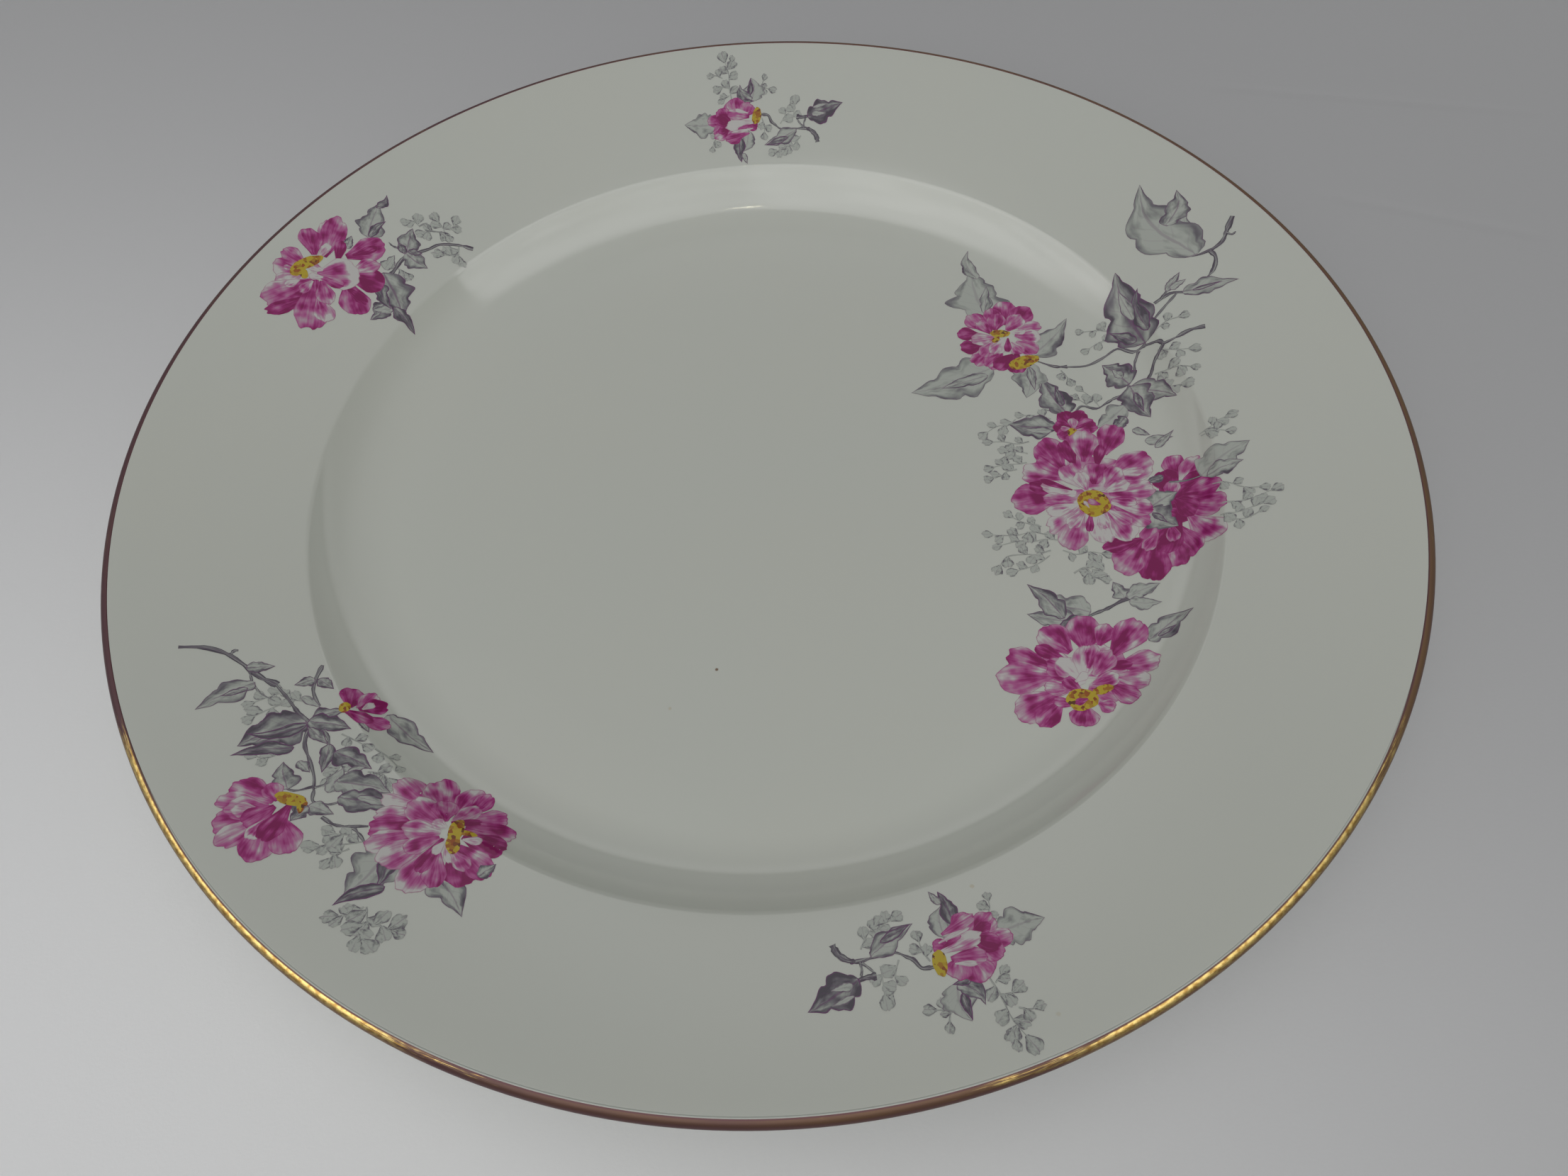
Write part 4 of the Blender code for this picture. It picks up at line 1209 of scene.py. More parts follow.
def draw_right_rim_leaves(spray, piece):
    spray.sprigs(piece, [
        (3, 1.7, 0.30, [(81.0, 34.0), (78.0, 35.6), (74.6, 36.4)]),
        (3, 1.7, 0.22, [(81.5, 31.0), (78.4, 32.4), (75.0, 31.0)]),
        (3, 1.6, 0.34, [(88.6, 29.0), (91.0, 30.4), (94.4, 30.6)]),
        (4, 1.7, 0.20, [(88.4, 24.6), (91.0, 22.8), (94.8, 21.6)]),
        (4, 1.7, 0.28, [(87.2, 19.6), (90.4, 18.8), (94.2, 16.8)]),
        (4, 1.7, 0.20, [(85.8, 16.6), (88.4, 15.4), (91.8, 13.8)]),
    ])
    spray.stems(piece, [
        (1.10, 0.72, [(108.6, 51.8), (106.8, 48.6), (105.4, 46.2), (102.4, 44.6)]),
        (0.55, 0.92, [(103.4, 45.0), (99.8, 44.7), (97.4, 46.0), (95.6, 48.6), (94.6, 51.0), (96.0, 52.8),
            (99.0, 53.8), (99.8, 56.4)]),
        (0.80, 0.72, [(102.6, 44.8), (103.4, 42.8), (102.6, 40.2), (101.0, 38.4), (99.6, 37.2)]),
        (0.50, 0.70, [(106.6, 48.0), (107.6, 47.2), (108.4, 47.6)]),
        (0.70, 0.66, [(89.6, 35.8), (93.0, 37.1), (96.0, 36.3), (98.4, 35.6)]),
        (0.55, 0.66, [(94.4, 36.7), (91.5, 34.3), (89.0, 32.0), (87.0, 29.8), (86.5, 27.2)]),
        (0.50, 0.66, [(91.0, 36.4), (93.0, 38.5), (94.2, 40.3)]),
        (0.80, 0.74, [(98.0, 26.2), (95.0, 26.4), (92.0, 25.6), (89.7, 25.2), (88.8, 26.4), (86.4, 27.2)]),
        (0.70, 0.74, [(86.4, 27.2), (84.2, 27.0), (81.4, 29.3), (78.0, 28.0), (74.0, 26.7), (69.0, 26.9)]),
        (0.70, 0.74, [(89.6, 25.2), (87.6, 22.6), (86.6, 20.2), (85.2, 18.6)]),
        (0.55, 0.70, [(85.2, 26.6), (84.0, 24.0), (83.6, 21.6), (82.4, 20.6)]),
    ])
    spray.leaves(piece, [
        ((99.4, 46.0), (100.4, 57.6), 3.6, 0.10, 0.10), ((99.8, 44.7), (91.8, 67.2), 12.4, 0.26, 0.13),
        ((95.4, 54.4), (99.0, 63.0), 5.6, 0.44, -0.14), ((95.4, 36.4), (106.6, 35.4), 4.4, 0.36, 0.03),
        ((97.4, 36.2), (103.6, 36.2), 1.0, 0.75, 0.0), ((92.4, 37.9), (95.9, 41.8), 2.2, 0.40, 0.0),
        ((93.2, 38.3), (96.8, 39.5), 1.9, 0.30, 0.0), ((86.6, 27.6), (83.2, 46.6), 10.2, 0.66, 0.05),
        ((87.4, 30.0), (87.0, 41.0), 3.2, 0.92, 0.12), ((85.2, 34.0), (83.0, 42.0), 2.2, 0.36, 0.0),
        ((85.2, 29.0), (80.4, 33.8), 2.2, 0.82, 0.0),
    ])


def draw_right_bud_leaves(spray, piece):
    spray.sprigs(piece, [
        (2, 1.7, 0.30, [(68.4, 26.0), (69.2, 24.4), (69.8, 22.6)]),
        (3, 1.8, 0.24, [(74.8, 14.6), (73.6, 17.4), (71.6, 20.0)]),
        (2, 1.7, 0.34, [(72.4, 15.0), (71.4, 16.4), (70.2, 17.6)]),
        (2, 1.7, 0.28, [(66.4, 12.4), (65.2, 13.8), (63.8, 15.2)]),
        (3, 1.7, 0.22, [(63.6, 12.2), (60.4, 13.4), (57.2, 13.8)]),
    ])
    spray.stems(piece, [
        (0.70, 0.70, [(82.2, 19.2), (80.6, 17.2), (78.4, 16.6), (76.4, 15.5), (74.0, 14.2), (71.0, 15.2),
            (69.4, 13.8)]),
        (0.70, 0.72, [(70.0, 26.9), (67.0, 27.3), (63.6, 29.2)]),
    ])
    spray.leaves(piece, [
        ((82.2, 18.8), (90.0, 12.2), 5.6, 0.46, 0.05), ((82.2, 19.0), (84.6, 9.6), 7.4, 0.60, -0.05),
        ((82.8, 17.0), (83.6, 11.4), 1.8, 0.90, 0.0), ((82.2, 19.4), (77.6, 26.2), 6.9, 0.70, -0.05),
        ((81.2, 21.6), (79.4, 24.6), 2.0, 0.34, 0.0), ((80.2, 14.2), (72.8, 8.8), 5.4, 0.18, 0.04),
        ((79.8, 11.2), (76.4, 8.0), 3.2, 0.72, 0.0), ((67.4, 13.2), (63.8, 23.8), 7.4, 0.64, 0.04),
        ((66.8, 15.6), (66.2, 21.6), 2.0, 0.92, 0.0), ((64.4, 9.8), (53.8, 11.8), 6.6, 0.60, 0.05),
        ((63.2, 8.8), (57.0, 9.8), 2.0, 0.30, 0.0), ((80.4, 7.6), (83.6, 5.2), 2.0, 0.34, 0.0),
        ((82.2, 4.0), (87.6, 3.0), 2.4, 0.26, 0.0), ((83.8, 1.6), (88.0, 4.6), 1.8, 0.40, 0.0),
    ])


def draw_right_well_leaves(spray, piece):
    spray.sprigs(piece, [
        (4, 1.7, 0.22, [(56.0, 12.8), (54.0, 11.2), (51.6, 11.2), (48.6, 9.2)]),
        (4, 1.7, 0.28, [(57.8, 6.4), (55.0, 6.0), (52.4, 6.8), (49.4, 7.0)]),
        (4, 1.7, 0.20, [(57.0, 3.2), (55.0, 3.8), (53.0, 4.0), (52.0, 2.4)]),
        (4, 1.7, 0.26, [(56.4, 0.8), (54.0, 0.6), (51.4, 0.6), (48.6, 0.0)]),
        (4, 1.7, 0.22, [(54.0, -0.8), (51.8, -1.2), (50.4, -2.2), (48.2, -2.8)]),
    ])
    spray.leaves(piece, [
        ((54.4, 43.4), (52.8, 59.0), 12.8, 0.14, 0.04), ((54.0, 45.0), (55.8, 54.0), 3.0, 0.34, 0.0),
        ((53.8, 56.4), (53.0, 65.2), 3.6, 0.30, 0.14), ((53.6, 28.2), (34.2, 22.4), 10.9, 0.16, 0.05),
        ((52.0, 26.0), (41.0, 23.0), 3.4, 0.36, 0.0), ((62.8, 30.8), (72.4, 41.0), 6.6, 0.24, -0.04),
        ((62.0, 28.8), (59.4, 18.6), 7.9, 0.16, 0.05), ((61.6, 27.6), (61.6, 20.6), 2.2, 0.42, 0.0),
    ])


def draw_right_lower_leaves(spray, piece):
    spray.sprigs(piece, [
        (6, 1.8, 0.18, [(60.0, -19.6), (57.0, -19.0), (54.0, -19.4), (51.4, -19.0), (46.6, -20.0)]),
        (5, 1.8, 0.24, [(57.4, -18.0), (54.4, -17.0), (51.4, -17.6), (48.4, -17.4), (45.8, -17.0)]),
        (4, 1.8, 0.18, [(56.6, -15.8), (53.8, -14.8), (52.2, -14.0), (50.8, -12.8)]),
        (5, 1.8, 0.26, [(57.4, -21.8), (54.6, -22.6), (52.4, -22.4), (48.4, -22.6), (46.2, -25.2)]),
        (4, 1.8, 0.20, [(57.0, -23.0), (54.6, -24.6), (52.0, -25.6), (49.4, -26.2)]),
        (4, 1.8, 0.26, [(59.8, -22.0), (62.4, -23.2), (65.0, -22.8), (68.2, -23.6)]),
        (5, 1.8, 0.22, [(61.0, -27.6), (63.2, -26.4), (65.0, -27.0), (67.0, -27.4), (66.6, -25.0)]),
        (3, 1.8, 0.22, [(63.4, -27.0), (64.6, -28.6), (66.4, -29.4)]),
    ])
    spray.stems(piece, [
        (0.75, 0.72, [(75.2, -33.0), (72.0, -34.2), (69.4, -34.6), (66.0, -36.2), (62.6, -37.4),
            (60.4, -38.6)]),
    ])
    spray.leaves(piece, [
        ((69.8, -34.2), (68.2, -30.2), 3.7, 0.32, 0.0), ((70.2, -34.0), (77.2, -31.8), 3.9, 0.20, 0.04),
        ((70.4, -35.0), (76.4, -36.2), 3.3, 0.16, -0.04), ((62.6, -36.8), (53.2, -32.8), 6.8, 0.30, 0.04),
        ((59.8, -38.8), (50.0, -36.2), 5.0, 0.32, 0.04), ((57.2, -37.8), (51.2, -29.4), 4.6, 0.58, -0.06),
        ((60.4, -37.8), (54.6, -40.4), 2.6, 0.85, 0.0), ((71.8, -44.6), (80.8, -39.8), 4.8, 0.40, 0.04),
        ((73.6, -44.0), (77.4, -42.4), 1.2, 0.70, 0.0),
    ])


def draw_right_upper_rose(spray, piece):
    spray.petals(piece, [
        ("mid", (58.2, 41.0), (59.8, 48.4), 6.2), ("mid", (60.0, 41.0), (64.6, 45.6), 6.0),
        ("pale", (61.0, 39.6), (66.2, 40.2), 3.8), ("mid", (53.6, 40.0), (50.4, 44.8), 6.0),
        ("mid", (55.6, 41.0), (55.6, 46.4), 4.6), ("deep", (51.6, 38.6), (47.0, 39.2), 4.8),
        ("deep", (52.0, 35.2), (47.2, 34.2), 4.8), ("rose", (53.6, 33.6), (49.6, 29.3), 4.9),
        ("rose", (56.0, 32.4), (52.6, 28.0), 4.7), ("mid", (54.6, 38.6), (52.6, 43.0), 4.2),
        ("mid", (55.6, 39.6), (57.0, 44.6), 5.0), ("rose", (58.4, 39.2), (62.2, 43.6), 4.8),
        ("hem", (60.0, 37.6), (65.4, 35.6), 5.6), ("pale", (60.0, 35.6), (64.0, 31.8), 4.6),
        ("rose", (55.6, 37.2), (49.8, 36.6), 4.2), ("pale", (55.0, 36.2), (51.6, 31.6), 4.0),
        ("white", (57.2, 36.6), (54.4, 32.2), 4.2), ("pale", (58.6, 35.4), (60.6, 31.6), 3.7),
        ("deep", (58.2, 36.8), (57.6, 32.6), 1.7), ("white", (59.4, 38.2), (62.6, 38.6), 1.9),
        ("deep", (59.4, 31.8), (58.2, 26.0), 5.2), ("deep", (58.6, 31.6), (53.8, 28.0), 4.3),
    ])
    spray.stamens(piece, [
        ((56.6, 38.4), (58.8, 38.2), 2.4), ((55.4, 36.6), (54.6, 35.8), 1.5),
        ((60.6, 29.2), (64.2, 30.2), 3.5),
    ])


def draw_right_bud(spray, piece):
    spray.petals(piece, [
        ("deep", (68.0, 9.2), (66.0, 13.9), 5.0), ("deep", (68.0, 9.2), (70.9, 13.5), 5.0),
        ("deep", (67.6, 9.2), (63.9, 10.2), 4.8), ("mid", (68.4, 9.0), (73.2, 10.2), 4.8),
        ("mid", (67.4, 8.6), (64.6, 6.6), 4.4), ("mid", (68.0, 8.2), (67.2, 5.0), 3.8),
        ("deep", (69.2, 7.6), (71.6, 5.6), 3.0), ("pale", (68.6, 8.6), (71.4, 7.8), 2.6),
        ("rose", (68.0, 9.0), (68.4, 12.0), 2.4), ("white", (67.2, 9.2), (65.2, 9.4), 1.6),
    ])
    spray.stamens(piece, [((67.6, 7.9), (67.8, 6.5), 2.3)])


def draw_right_centre_rose(spray, piece):
    spray.petals(piece, [
        ("pale", (67.0, -6.0), (66.0, 3.0), 11.0), ("pale", (68.0, -6.0), (77.0, -3.0), 11.0),
        ("rose", (68.0, -8.0), (73.0, -17.0), 12.0), ("pale", (67.0, -8.0), (60.0, -13.0), 10.0),
        ("mid", (63.6, -1.0), (60.0, 6.2), 8.2), ("deep", (66.2, -0.6), (64.8, 5.8), 4.4),
        ("rose", (68.4, 0.0), (70.2, 8.3), 7.2), ("mid", (73.0, 1.6), (76.8, 9.4), 6.4),
        ("rose", (63.6, -4.0), (54.8, -1.4), 6.4), ("mid", (61.8, -8.4), (51.8, -9.0), 8.4),
        ("deep", (62.8, -6.4), (55.8, -5.4), 3.6), ("pale", (64.6, -12.4), (58.2, -17.7), 5.2),
        ("rose", (65.6, -13.0), (61.2, -21.8), 6.2), ("white", (68.2, -14.0), (68.8, -20.8), 5.8),
        ("hem", (71.0, -13.4), (74.8, -20.3), 6.6), ("mid", (72.4, -12.0), (78.4, -17.0), 4.4),
        ("pale", (72.0, -11.0), (80.2, -13.0), 5.0), ("rose", (72.0, -8.8), (81.6, -8.2), 5.6),
        ("rose", (72.4, -5.0), (82.6, -0.8), 8.4), ("white", (74.0, -4.0), (80.4, -3.2), 2.4),
        ("deep", (70.8, -1.8), (72.4, 4.2), 2.6), ("mid", (63.8, -3.2), (58.8, 1.6), 3.4),
        ("pale", (66.6, -6.4), (63.8, -0.6), 6.2), ("mid", (69.6, -6.0), (70.6, -0.4), 6.6),
        ("rose", (71.4, -7.0), (75.6, -2.6), 5.0), ("white", (67.6, -7.4), (66.4, -2.8), 3.8),
        ("white", (65.2, -8.0), (58.6, -5.2), 3.7), ("deep", (64.6, -7.2), (58.2, -4.4), 1.6),
        ("rose", (64.8, -9.6), (58.0, -9.0), 3.4), ("white", (65.0, -11.0), (58.4, -12.6), 3.2),
        ("rose", (66.0, -13.0), (62.0, -16.4), 3.3), ("deep", (67.2, -13.4), (66.0, -18.0), 1.8),
        ("white", (69.0, -13.8), (69.6, -17.4), 2.9), ("pale", (71.0, -13.0), (74.8, -16.6), 3.4),
        ("mid", (72.0, -10.4), (77.4, -11.2), 2.9), ("white", (71.4, -8.2), (76.8, -6.2), 3.2),
    ])
    spray.stamens(piece, [((68.3, -10.9), (68.6, -7.4), 6.6)])
    spray.petals(piece, [
        ("mid", (69.6, -11.4), (67.2, -10.2), 1.7), ("white", (67.2, -12.0), (66.4, -10.2), 0.9),
    ])


def draw_right_dark_rose(spray, piece):
    """The rose behind the centre one, and the leaves and sprigs on its far side."""
    leaves = "foliage_right_dark"
    spray.petals(piece, [
        ("deep", (82.0, -12.0), (88.0, -8.5), 9.0), ("deep", (82.0, -14.0), (87.5, -17.0), 9.0),
        ("mid", (81.0, -16.0), (79.0, -24.5), 10.0), ("mid", (85.6, -7.0), (86.2, -1.4), 4.4),
        ("deep", (84.4, -10.6), (83.8, -4.6), 6.2), ("pale", (86.4, -8.8), (89.8, -3.8), 4.0),
        ("deep", (86.0, -9.4), (90.6, -9.0), 4.6), ("mid", (86.2, -11.6), (92.2, -12.6), 6.4),
        ("mid", (86.2, -14.0), (91.2, -18.8), 6.2), ("rose", (86.0, -17.6), (88.8, -25.4), 5.6),
        ("mid", (83.6, -19.4), (85.2, -27.0), 5.2), ("mid", (82.0, -20.4), (81.2, -28.8), 6.2),
        ("deep", (79.0, -21.4), (76.2, -30.8), 6.6), ("mid", (76.4, -20.8), (70.2, -28.4), 7.2),
        ("deep", (76.0, -20.6), (68.2, -22.4), 3.8), ("deep", (84.0, -17.8), (79.2, -24.6), 6.0),
        ("deep", (84.6, -12.4), (87.4, -17.2), 4.4), ("mid", (83.6, -12.0), (85.4, -8.0), 3.4),
        ("rose", (82.4, -18.4), (82.0, -22.6), 2.8), ("rose", (79.6, -19.6), (76.2, -23.4), 2.8),
    ])
    spray.sprigs(leaves, [
        (4, 1.7, 0.18, [(91.6, 0.6), (93.6, 1.0), (95.0, 2.0), (97.2, 2.4)]),
        (3, 1.6, 0.24, [(91.8, 0.0), (94.2, -0.2), (96.4, -1.2)]),
        (4, 1.7, 0.18, [(91.0, -12.4), (93.4, -13.8), (95.6, -15.8), (98.8, -17.0)]),
        (4, 1.7, 0.26, [(91.2, -18.0), (94.0, -18.8), (96.6, -18.8), (100.8, -18.0)]),
        (5, 1.7, 0.20, [(90.2, -20.6), (92.8, -21.2), (95.2, -21.0), (98.4, -20.6)]),
        (3, 1.7, 0.26, [(91.2, -22.4), (94.0, -23.2), (97.2, -22.2)]),
    ])
    spray.stems(leaves, [(0.5, 0.6, [(84.4, -7.8), (87.4, -8.8), (90.2, -9.2)])])
    spray.leaves(leaves, [
        ((89.8, -9.2), (99.4, -5.0), 7.7, 0.16, 0.05), ((90.6, -9.8), (97.2, -9.2), 3.8, 0.34, 0.0),
        ((83.8, -6.0), (79.8, -6.8), 2.0, 0.85, 0.0), ((79.2, -13.2), (85.4, -10.8), 6.2, 0.36, 0.05),
        ((79.2, -13.6), (83.6, -19.2), 6.8, 0.46, -0.05), ((79.6, -14.6), (82.0, -17.6), 1.6, 0.85, 0.0),
    ])


def draw_right_lower_rose(spray, piece):
    spray.petals(piece, [
        ("pale", (58.5, -50.0), (66.0, -46.0), 11.0), ("pale", (58.5, -51.0), (50.0, -49.0), 11.0),
        ("rose", (59.0, -53.0), (64.5, -55.5), 8.0), ("mid", (60.0, -45.2), (60.4, -37.6), 8.2),
        ("mid", (62.6, -44.2), (65.0, -39.8), 4.4), ("mid", (56.8, -45.2), (52.6, -39.6), 7.8),
        ("mid", (64.6, -46.6), (71.6, -39.8), 6.8), ("rose", (65.2, -49.0), (72.8, -49.4), 5.6),
        ("rose", (63.6, -51.4), (69.8, -53.8), 5.2), ("mid", (62.6, -53.0), (66.8, -57.4), 4.6),
        ("mid", (53.0, -48.6), (44.6, -45.8), 6.2), ("rose", (52.8, -50.0), (42.4, -49.8), 8.0),
        ("rose", (53.0, -53.6), (44.4, -57.6), 6.4), ("mid", (53.4, -55.2), (48.6, -60.0), 4.8),
        ("rose", (57.4, -56.8), (56.0, -61.2), 7.0), ("rose", (60.0, -56.6), (62.4, -58.4), 4.0),
        ("deep", (55.6, -47.0), (50.4, -43.4), 3.2), ("mid", (57.4, -50.6), (52.0, -47.4), 5.2),
        ("white", (57.8, -51.4), (54.4, -46.6), 5.6), ("white", (58.2, -51.0), (60.2, -44.6), 5.4),
        ("rose", (59.6, -49.0), (61.6, -44.0), 3.0), ("deep", (62.4, -49.2), (67.6, -48.8), 2.4),
        ("pale", (60.4, -50.6), (64.6, -45.8), 4.4), ("pale", (56.0, -52.8), (50.6, -52.8), 3.6),
        ("rose", (59.6, -52.4), (65.0, -51.4), 3.5), ("mid", (57.4, -53.8), (54.2, -51.0), 3.3),
        ("white", (56.6, -51.6), (59.4, -50.2), 1.9), ("mid", (56.2, -56.2), (51.8, -55.8), 2.2),
    ])
    spray.stamens(piece, [((57.1, -55.5), (60.0, -55.5), 4.8), ((61.4, -53.8), (63.4, -53.4), 2.0)])
    spray.petals(piece, [("mid", (58.2, -55.4), (55.8, -56.2), 1.6)])


# Where the bud spray is laid: middle of the bud on the plate, then its turn in degrees.
TOP_BUD = ((-1.5, 105.5), 0.0)
BOTTOM_BUD = ((28.3, -102.3), 194.3)


def make_sprays():
    materials = {"petal": petal_material(), "leaf": leaf_material()}
    make_spray(upper_left_spray(), "decal_upper_left", materials)
    make_spray(bud_spray("top", *TOP_BUD), "decal_top", materials)
    make_spray(right_spray(), "decal_right", materials)
    make_spray(lower_left_spray(), "decal_lower_left", materials)
    make_spray(bud_spray("bottom", *BOTTOM_BUD), "decal_bottom", materials)


# ---------------------------------------------------------------- floor, light, camera

# The window is drawn where the glaze mirrors it: shares of its height, seen from the plate's centre.
WINDOW_HEIGHT = 1.5
WINDOW_CORNERS = [
    (0.20, 0.40),
    (0.30, 0.26),
    (0.39, 0.19),
    (0.61, 0.04),
    (0.93, -0.14),
    (1.32, -0.33),
    (1.42, -1.10),
    (-1.90, -1.10),
    (-1.80, 0.54),
    (-0.34, 0.54),
    (0.00, 0.24),
]
WINDOW_STRENGTH = 3.3
BULB_CORNERS = [(-0.020, 0.106), (-0.006, 0.106), (-0.006, 0.098), (-0.020, 0.098)]
BULB_STRENGTH = 80.0
BULB_RISE = -0.01
CEILING_CORNERS = [(-3.2, -1.6), (3.2, -1.6), (3.2, 2.0), (-3.2, 2.0)]
CEILING_STRENGTH = 0.95
CEILING_RISE = 0.05
ROOM_COLOUR = (0.97, 0.985, 1.0, 1.0)
ROOM_STRENGTH = 0.225
# Soft square lamps: place, size in metres and power. One stands behind the camera, one hangs overhead.
LAMPS = [
    ((-0.3, -1.2, 1.5), 1.5, 7.8),
    ((0.0, -0.15, 1.8), 1.6, 4.8),
]


def make_pane(name, shares, material, rise=0.0):
    """A sheet overhead that only the glaze and the gold mirror. It adds no light to dull surfaces."""
    mesh = bpy.data.meshes.new(name)
    corners = [(x * WINDOW_HEIGHT, y * WINDOW_HEIGHT, WINDOW_HEIGHT + rise) for x, y in shares]
    mesh.from_pydata(corners, [], [list(range(len(corners)))])
    mesh.materials.append(material)
    pane = bpy.data.objects.new(name, mesh)
    bpy.context.scene.collection.objects.link(pane)
    pane.visible_camera = False
    pane.visible_diffuse = False
    pane.visible_shadow = False


def glowing_material(name, strength):
    shader = Shader(name)
    shader.set(Base_Color=grey(0.0))
    shader.surface.inputs["Emission Strength"].default_value = strength
    return shader


def make_window():
    """A cloudy window that fades towards its near edge, and one small bright bulb beside it."""
    window = glowing_material("window_light", WINDOW_STRENGTH)
    place = window.position()
    x, y = window.parts(place)[:2]
    sideways = window.smooth(x, -0.12, 0.02, 1.0, 0.78)
    clouds = window.smooth(window.noise(place, 1.9, 3.0), 0.35, 0.65, 0.86, 1.06)
    wedge = window.math("SUBTRACT", y, window.times(window.math("ABSOLUTE", x), 0.9))
    step = window.smooth(wedge, -0.06 * WINDOW_HEIGHT, 0.08 * WINDOW_HEIGHT, 1.0, 0.85)
    near_edge = window.smooth(wedge, 0.14 * WINDOW_HEIGHT, 0.24 * WINDOW_HEIGHT, 1.0, 0.0)
    near_end = window.smooth(y, 0.08 * WINDOW_HEIGHT, 0.54 * WINDOW_HEIGHT, 1.0, 0.0)
    glow = window.times(window.times(sideways, clouds), window.times(near_edge, near_end))
    least = window.smooth(window.math("ABSOLUTE", x), 0.35 * WINDOW_HEIGHT, 1.15 * WINDOW_HEIGHT, 0.26, 0.15)
    glow = window.math("MAXIMUM", window.times(glow, step), least)
    window.set(Emission_Color=window.vector(glow, glow, glow))
    make_pane("window", WINDOW_CORNERS, window.material)
    bulb = glowing_material("bulb_light", BULB_STRENGTH)
    bulb.set(Emission_Color=(1.0, 0.93, 0.62, 1.0))
    make_pane("bulb", BULB_CORNERS, bulb.material, BULB_RISE)


def make_ceiling():
    """A dim glow behind the window, brightest overhead. It lifts the flat glaze, not the steep walls."""
    ceiling = glowing_material("ceiling_light", CEILING_STRENGTH)
    x, y = ceiling.parts(ceiling.position())[:2]
    aside = ceiling.math("ABSOLUTE", ceiling.add(x, 0.1 * WINDOW_HEIGHT))
    across = ceiling.smooth(aside, 0.35 * WINDOW_HEIGHT, 1.15 * WINDOW_HEIGHT, 1.0, 0.55)
    along = ceiling.smooth(y, 0.1 * WINDOW_HEIGHT, 0.8 * WINDOW_HEIGHT, 0.88, 0.78)
    along = ceiling.add(along, ceiling.smooth(y, 1.05 * WINDOW_HEIGHT, 1.45 * WINDOW_HEIGHT, 0.0, 0.42))
    end = ceiling.smooth(y, 1.5 * WINDOW_HEIGHT, 1.95 * WINDOW_HEIGHT, 1.0, 0.0)
    glow = ceiling.times(ceiling.times(across, along), end)
    ceiling.set(Emission_Color=ceiling.vector(glow, glow, glow))
    make_pane("ceiling", CEILING_CORNERS, ceiling.material, CEILING_RISE)


def make_lamps():
    """Broad soft lamps above the plate and behind the camera. The glaze mirrors neither."""
    for place, size, power in LAMPS:
        data = bpy.data.lights.new("lamp", "AREA")
        data.size = size
        data.energy = power
        lamp = bpy.data.objects.new("lamp", data)
        bpy.context.scene.collection.objects.link(lamp)
        lamp.location = place
        lamp.rotation_euler = Vector(place).to_track_quat("Z", "Y").to_euler()
        lamp.visible_camera = False
        lamp.visible_glossy = False


def make_room_light():
    world = bpy.data.worlds.new("room")
    world.use_nodes = True
    background = world.node_tree.nodes["Background"]
    background.inputs["Color"].default_value = ROOM_COLOUR
    background.inputs["Strength"].default_value = ROOM_STRENGTH
    bpy.context.scene.world = world


# The cloth's colour: an even grey with painted light, a long soft pool that brightens towards its near left
# corner.
FLOOR_SIZE = 3.0
CLOTH_DARK = (0.447, 0.446, 0.451, 1.0)
CLOTH_PAINTED_LIGHT = (1.0, 1.0, 1.0, 1.0)
LIGHT_POOL_CENTRE = (-0.128, -0.125)
LIGHT_POOL_TURN = math.radians(147.0)
LIGHT_POOL_LONG = 0.190
LIGHT_POOL_WIDE = 0.133
# Two faint creases pressed into the cloth, from one end to the other, in metres.
CREASES = [((0.1207, 0.1354), (0.2222, 0.1100)), ((0.1433, 0.0879), (0.2022, 0.0627))]
CREASE_WIDTH = 0.003


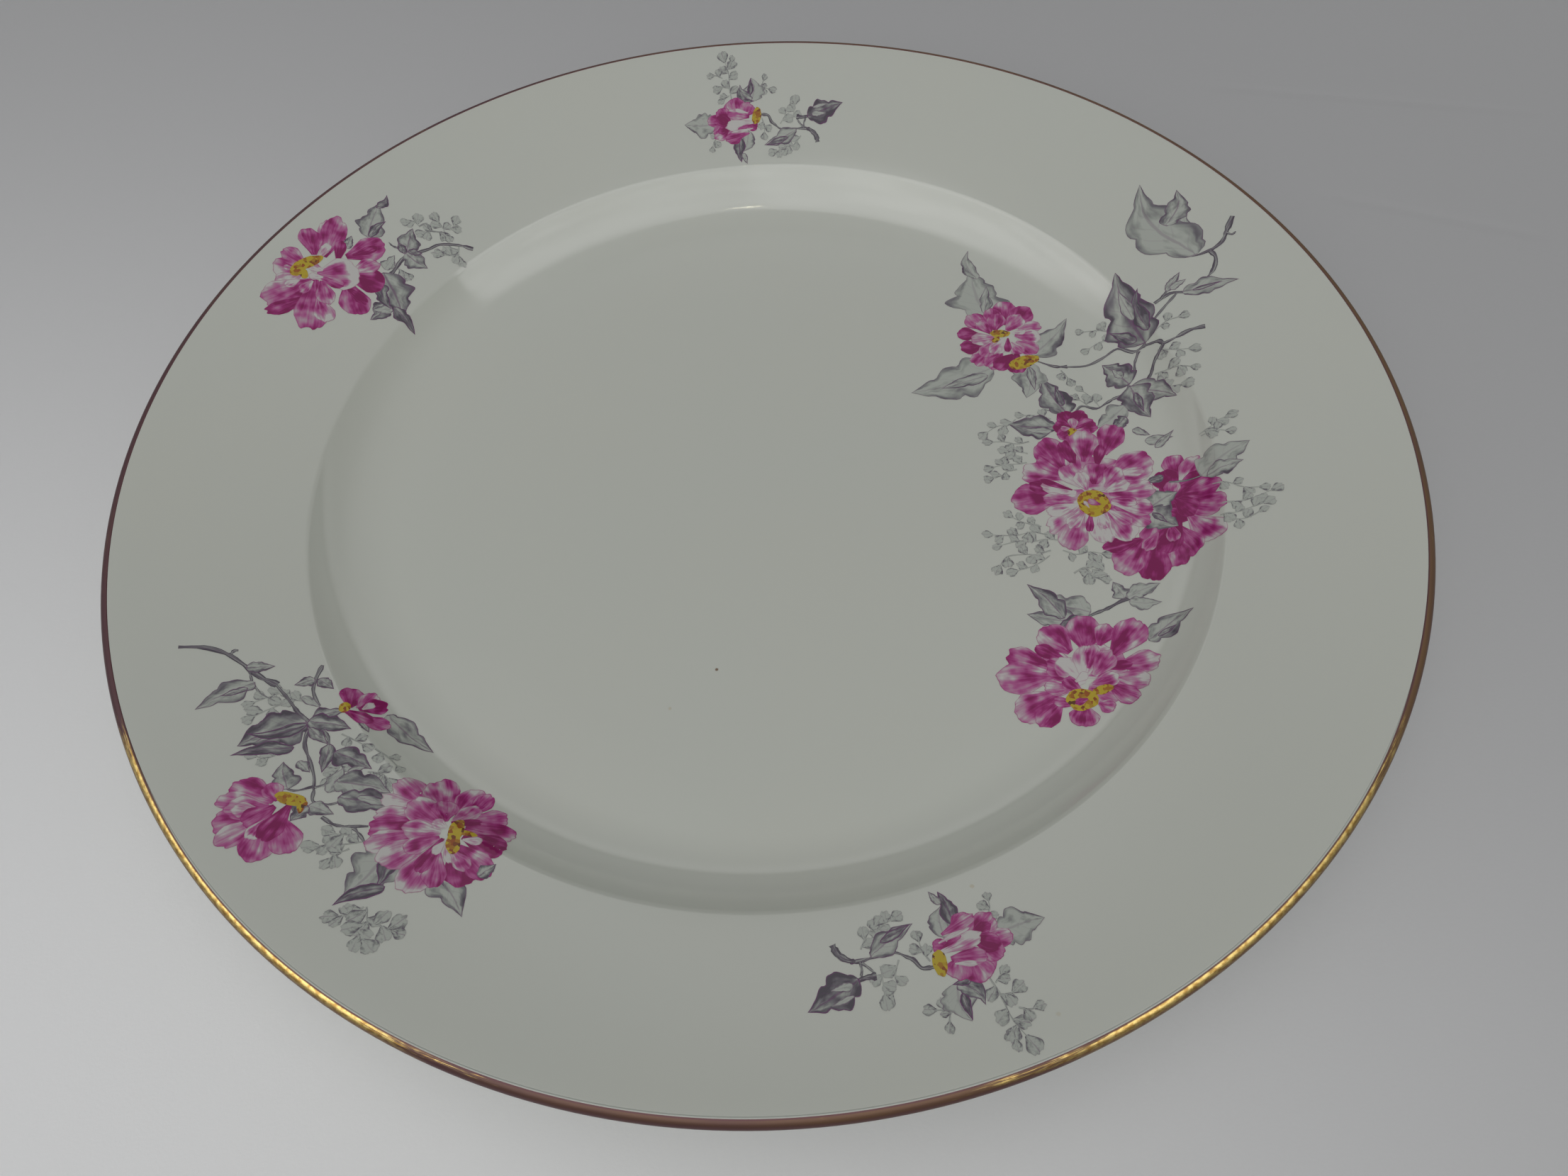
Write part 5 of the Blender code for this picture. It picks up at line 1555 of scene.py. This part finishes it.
def cloth_material():
    shader = Shader("pale_cloth")
    place = shader.position()
    x, y = shader.parts(place)[:2]
    x = shader.math("SUBTRACT", x, LIGHT_POOL_CENTRE[0])
    y = shader.math("SUBTRACT", y, LIGHT_POOL_CENTRE[1])
    c = math.cos(LIGHT_POOL_TURN)
    s = math.sin(LIGHT_POOL_TURN)
    long = shader.add(shader.times(x, c / LIGHT_POOL_LONG), shader.times(y, s / LIGHT_POOL_LONG))
    wide = shader.add(shader.times(x, -s / LIGHT_POOL_WIDE), shader.times(y, c / LIGHT_POOL_WIDE))
    away = shader.add(shader.times(long, long), shader.times(wide, wide))
    # Painted light: the grey cloth brightens to white in a soft pool towards its near left corner.
    glow = shader.math("POWER", math.exp(-0.5), away)
    cloth = shader.mix(glow, CLOTH_DARK, CLOTH_PAINTED_LIGHT)
    shader.set(Base_Color=cloth, Roughness=0.85)
    weave = shader.noise(place, 1500.0, 2.0)
    folds = shader.noise(shader.vector(shader.times(x, 3.0), y, 0.0), 6.0, 3.0)
    height = shader.add(shader.times(weave, 0.05), folds, crease_depth(shader, place))
    shader.set(Normal=shader.bump(height, 0.3, 2.0 * MM))
    return shader.material


def crease_depth(shader, place):
    """0 on the flat cloth, falling to about -0.3 along each crease."""
    depth = 0.0
    for start, end in CREASES:
        way = (Vector(end) - Vector(start)).normalized()
        x, y = shader.parts(shader.math_vector("SUBTRACT", place, (*start, 0.0)))[:2]
        along = shader.add(shader.times(x, way.x), shader.times(y, way.y))
        aside = shader.math("ABSOLUTE", shader.add(shader.times(x, -way.y), shader.times(y, way.x)))
        line = shader.smooth(aside, 0.0, CREASE_WIDTH, -0.3, 0.0)
        length = (Vector(end) - Vector(start)).length
        middle = shader.math("ABSOLUTE", shader.math("SUBTRACT", along, length / 2))
        fade = shader.smooth(middle, 0.3 * length, 0.5 * length, 1.0, 0.0)
        depth = shader.add(shader.times(line, fade), depth)
    return depth


def make_floor():
    mesh = bpy.data.meshes.new("floor")
    half = FLOOR_SIZE / 2
    corners = [(-half, -half, 0), (half, -half, 0), (half, half, 0), (-half, half, 0)]
    mesh.from_pydata(corners, [], [[0, 1, 2, 3]])
    floor = bpy.data.objects.new("floor", mesh)
    bpy.context.scene.collection.objects.link(floor)
    mesh.materials.append(cloth_material())


CAMERA_PLACE = (2.836, -145.817, 200.996)
CAMERA_ELEVATION = math.radians(58.369)
CAMERA_ROLL = math.radians(-3.977)
SENSOR_WIDTH = 36.0
LENS = 26.04


def make_camera():
    data = bpy.data.cameras.new("camera")
    data.sensor_width = SENSOR_WIDTH
    data.lens = LENS
    data.clip_start = 0.01
    camera = bpy.data.objects.new("camera", data)
    bpy.context.scene.collection.objects.link(camera)
    tilt = Matrix.Rotation(math.pi / 2 - CAMERA_ELEVATION, 4, "X")
    roll = Matrix.Rotation(CAMERA_ROLL, 4, "Z")
    camera.matrix_world = Matrix.Translation(Vector(CAMERA_PLACE) * MM) @ tilt @ roll
    bpy.context.scene.camera = camera


bpy.context.scene.view_settings.view_transform = "Standard"
make_camera()
make_floor()
make_window()
make_ceiling()
make_lamps()
make_room_light()
make_body()
make_gilt_line()
make_sprays()
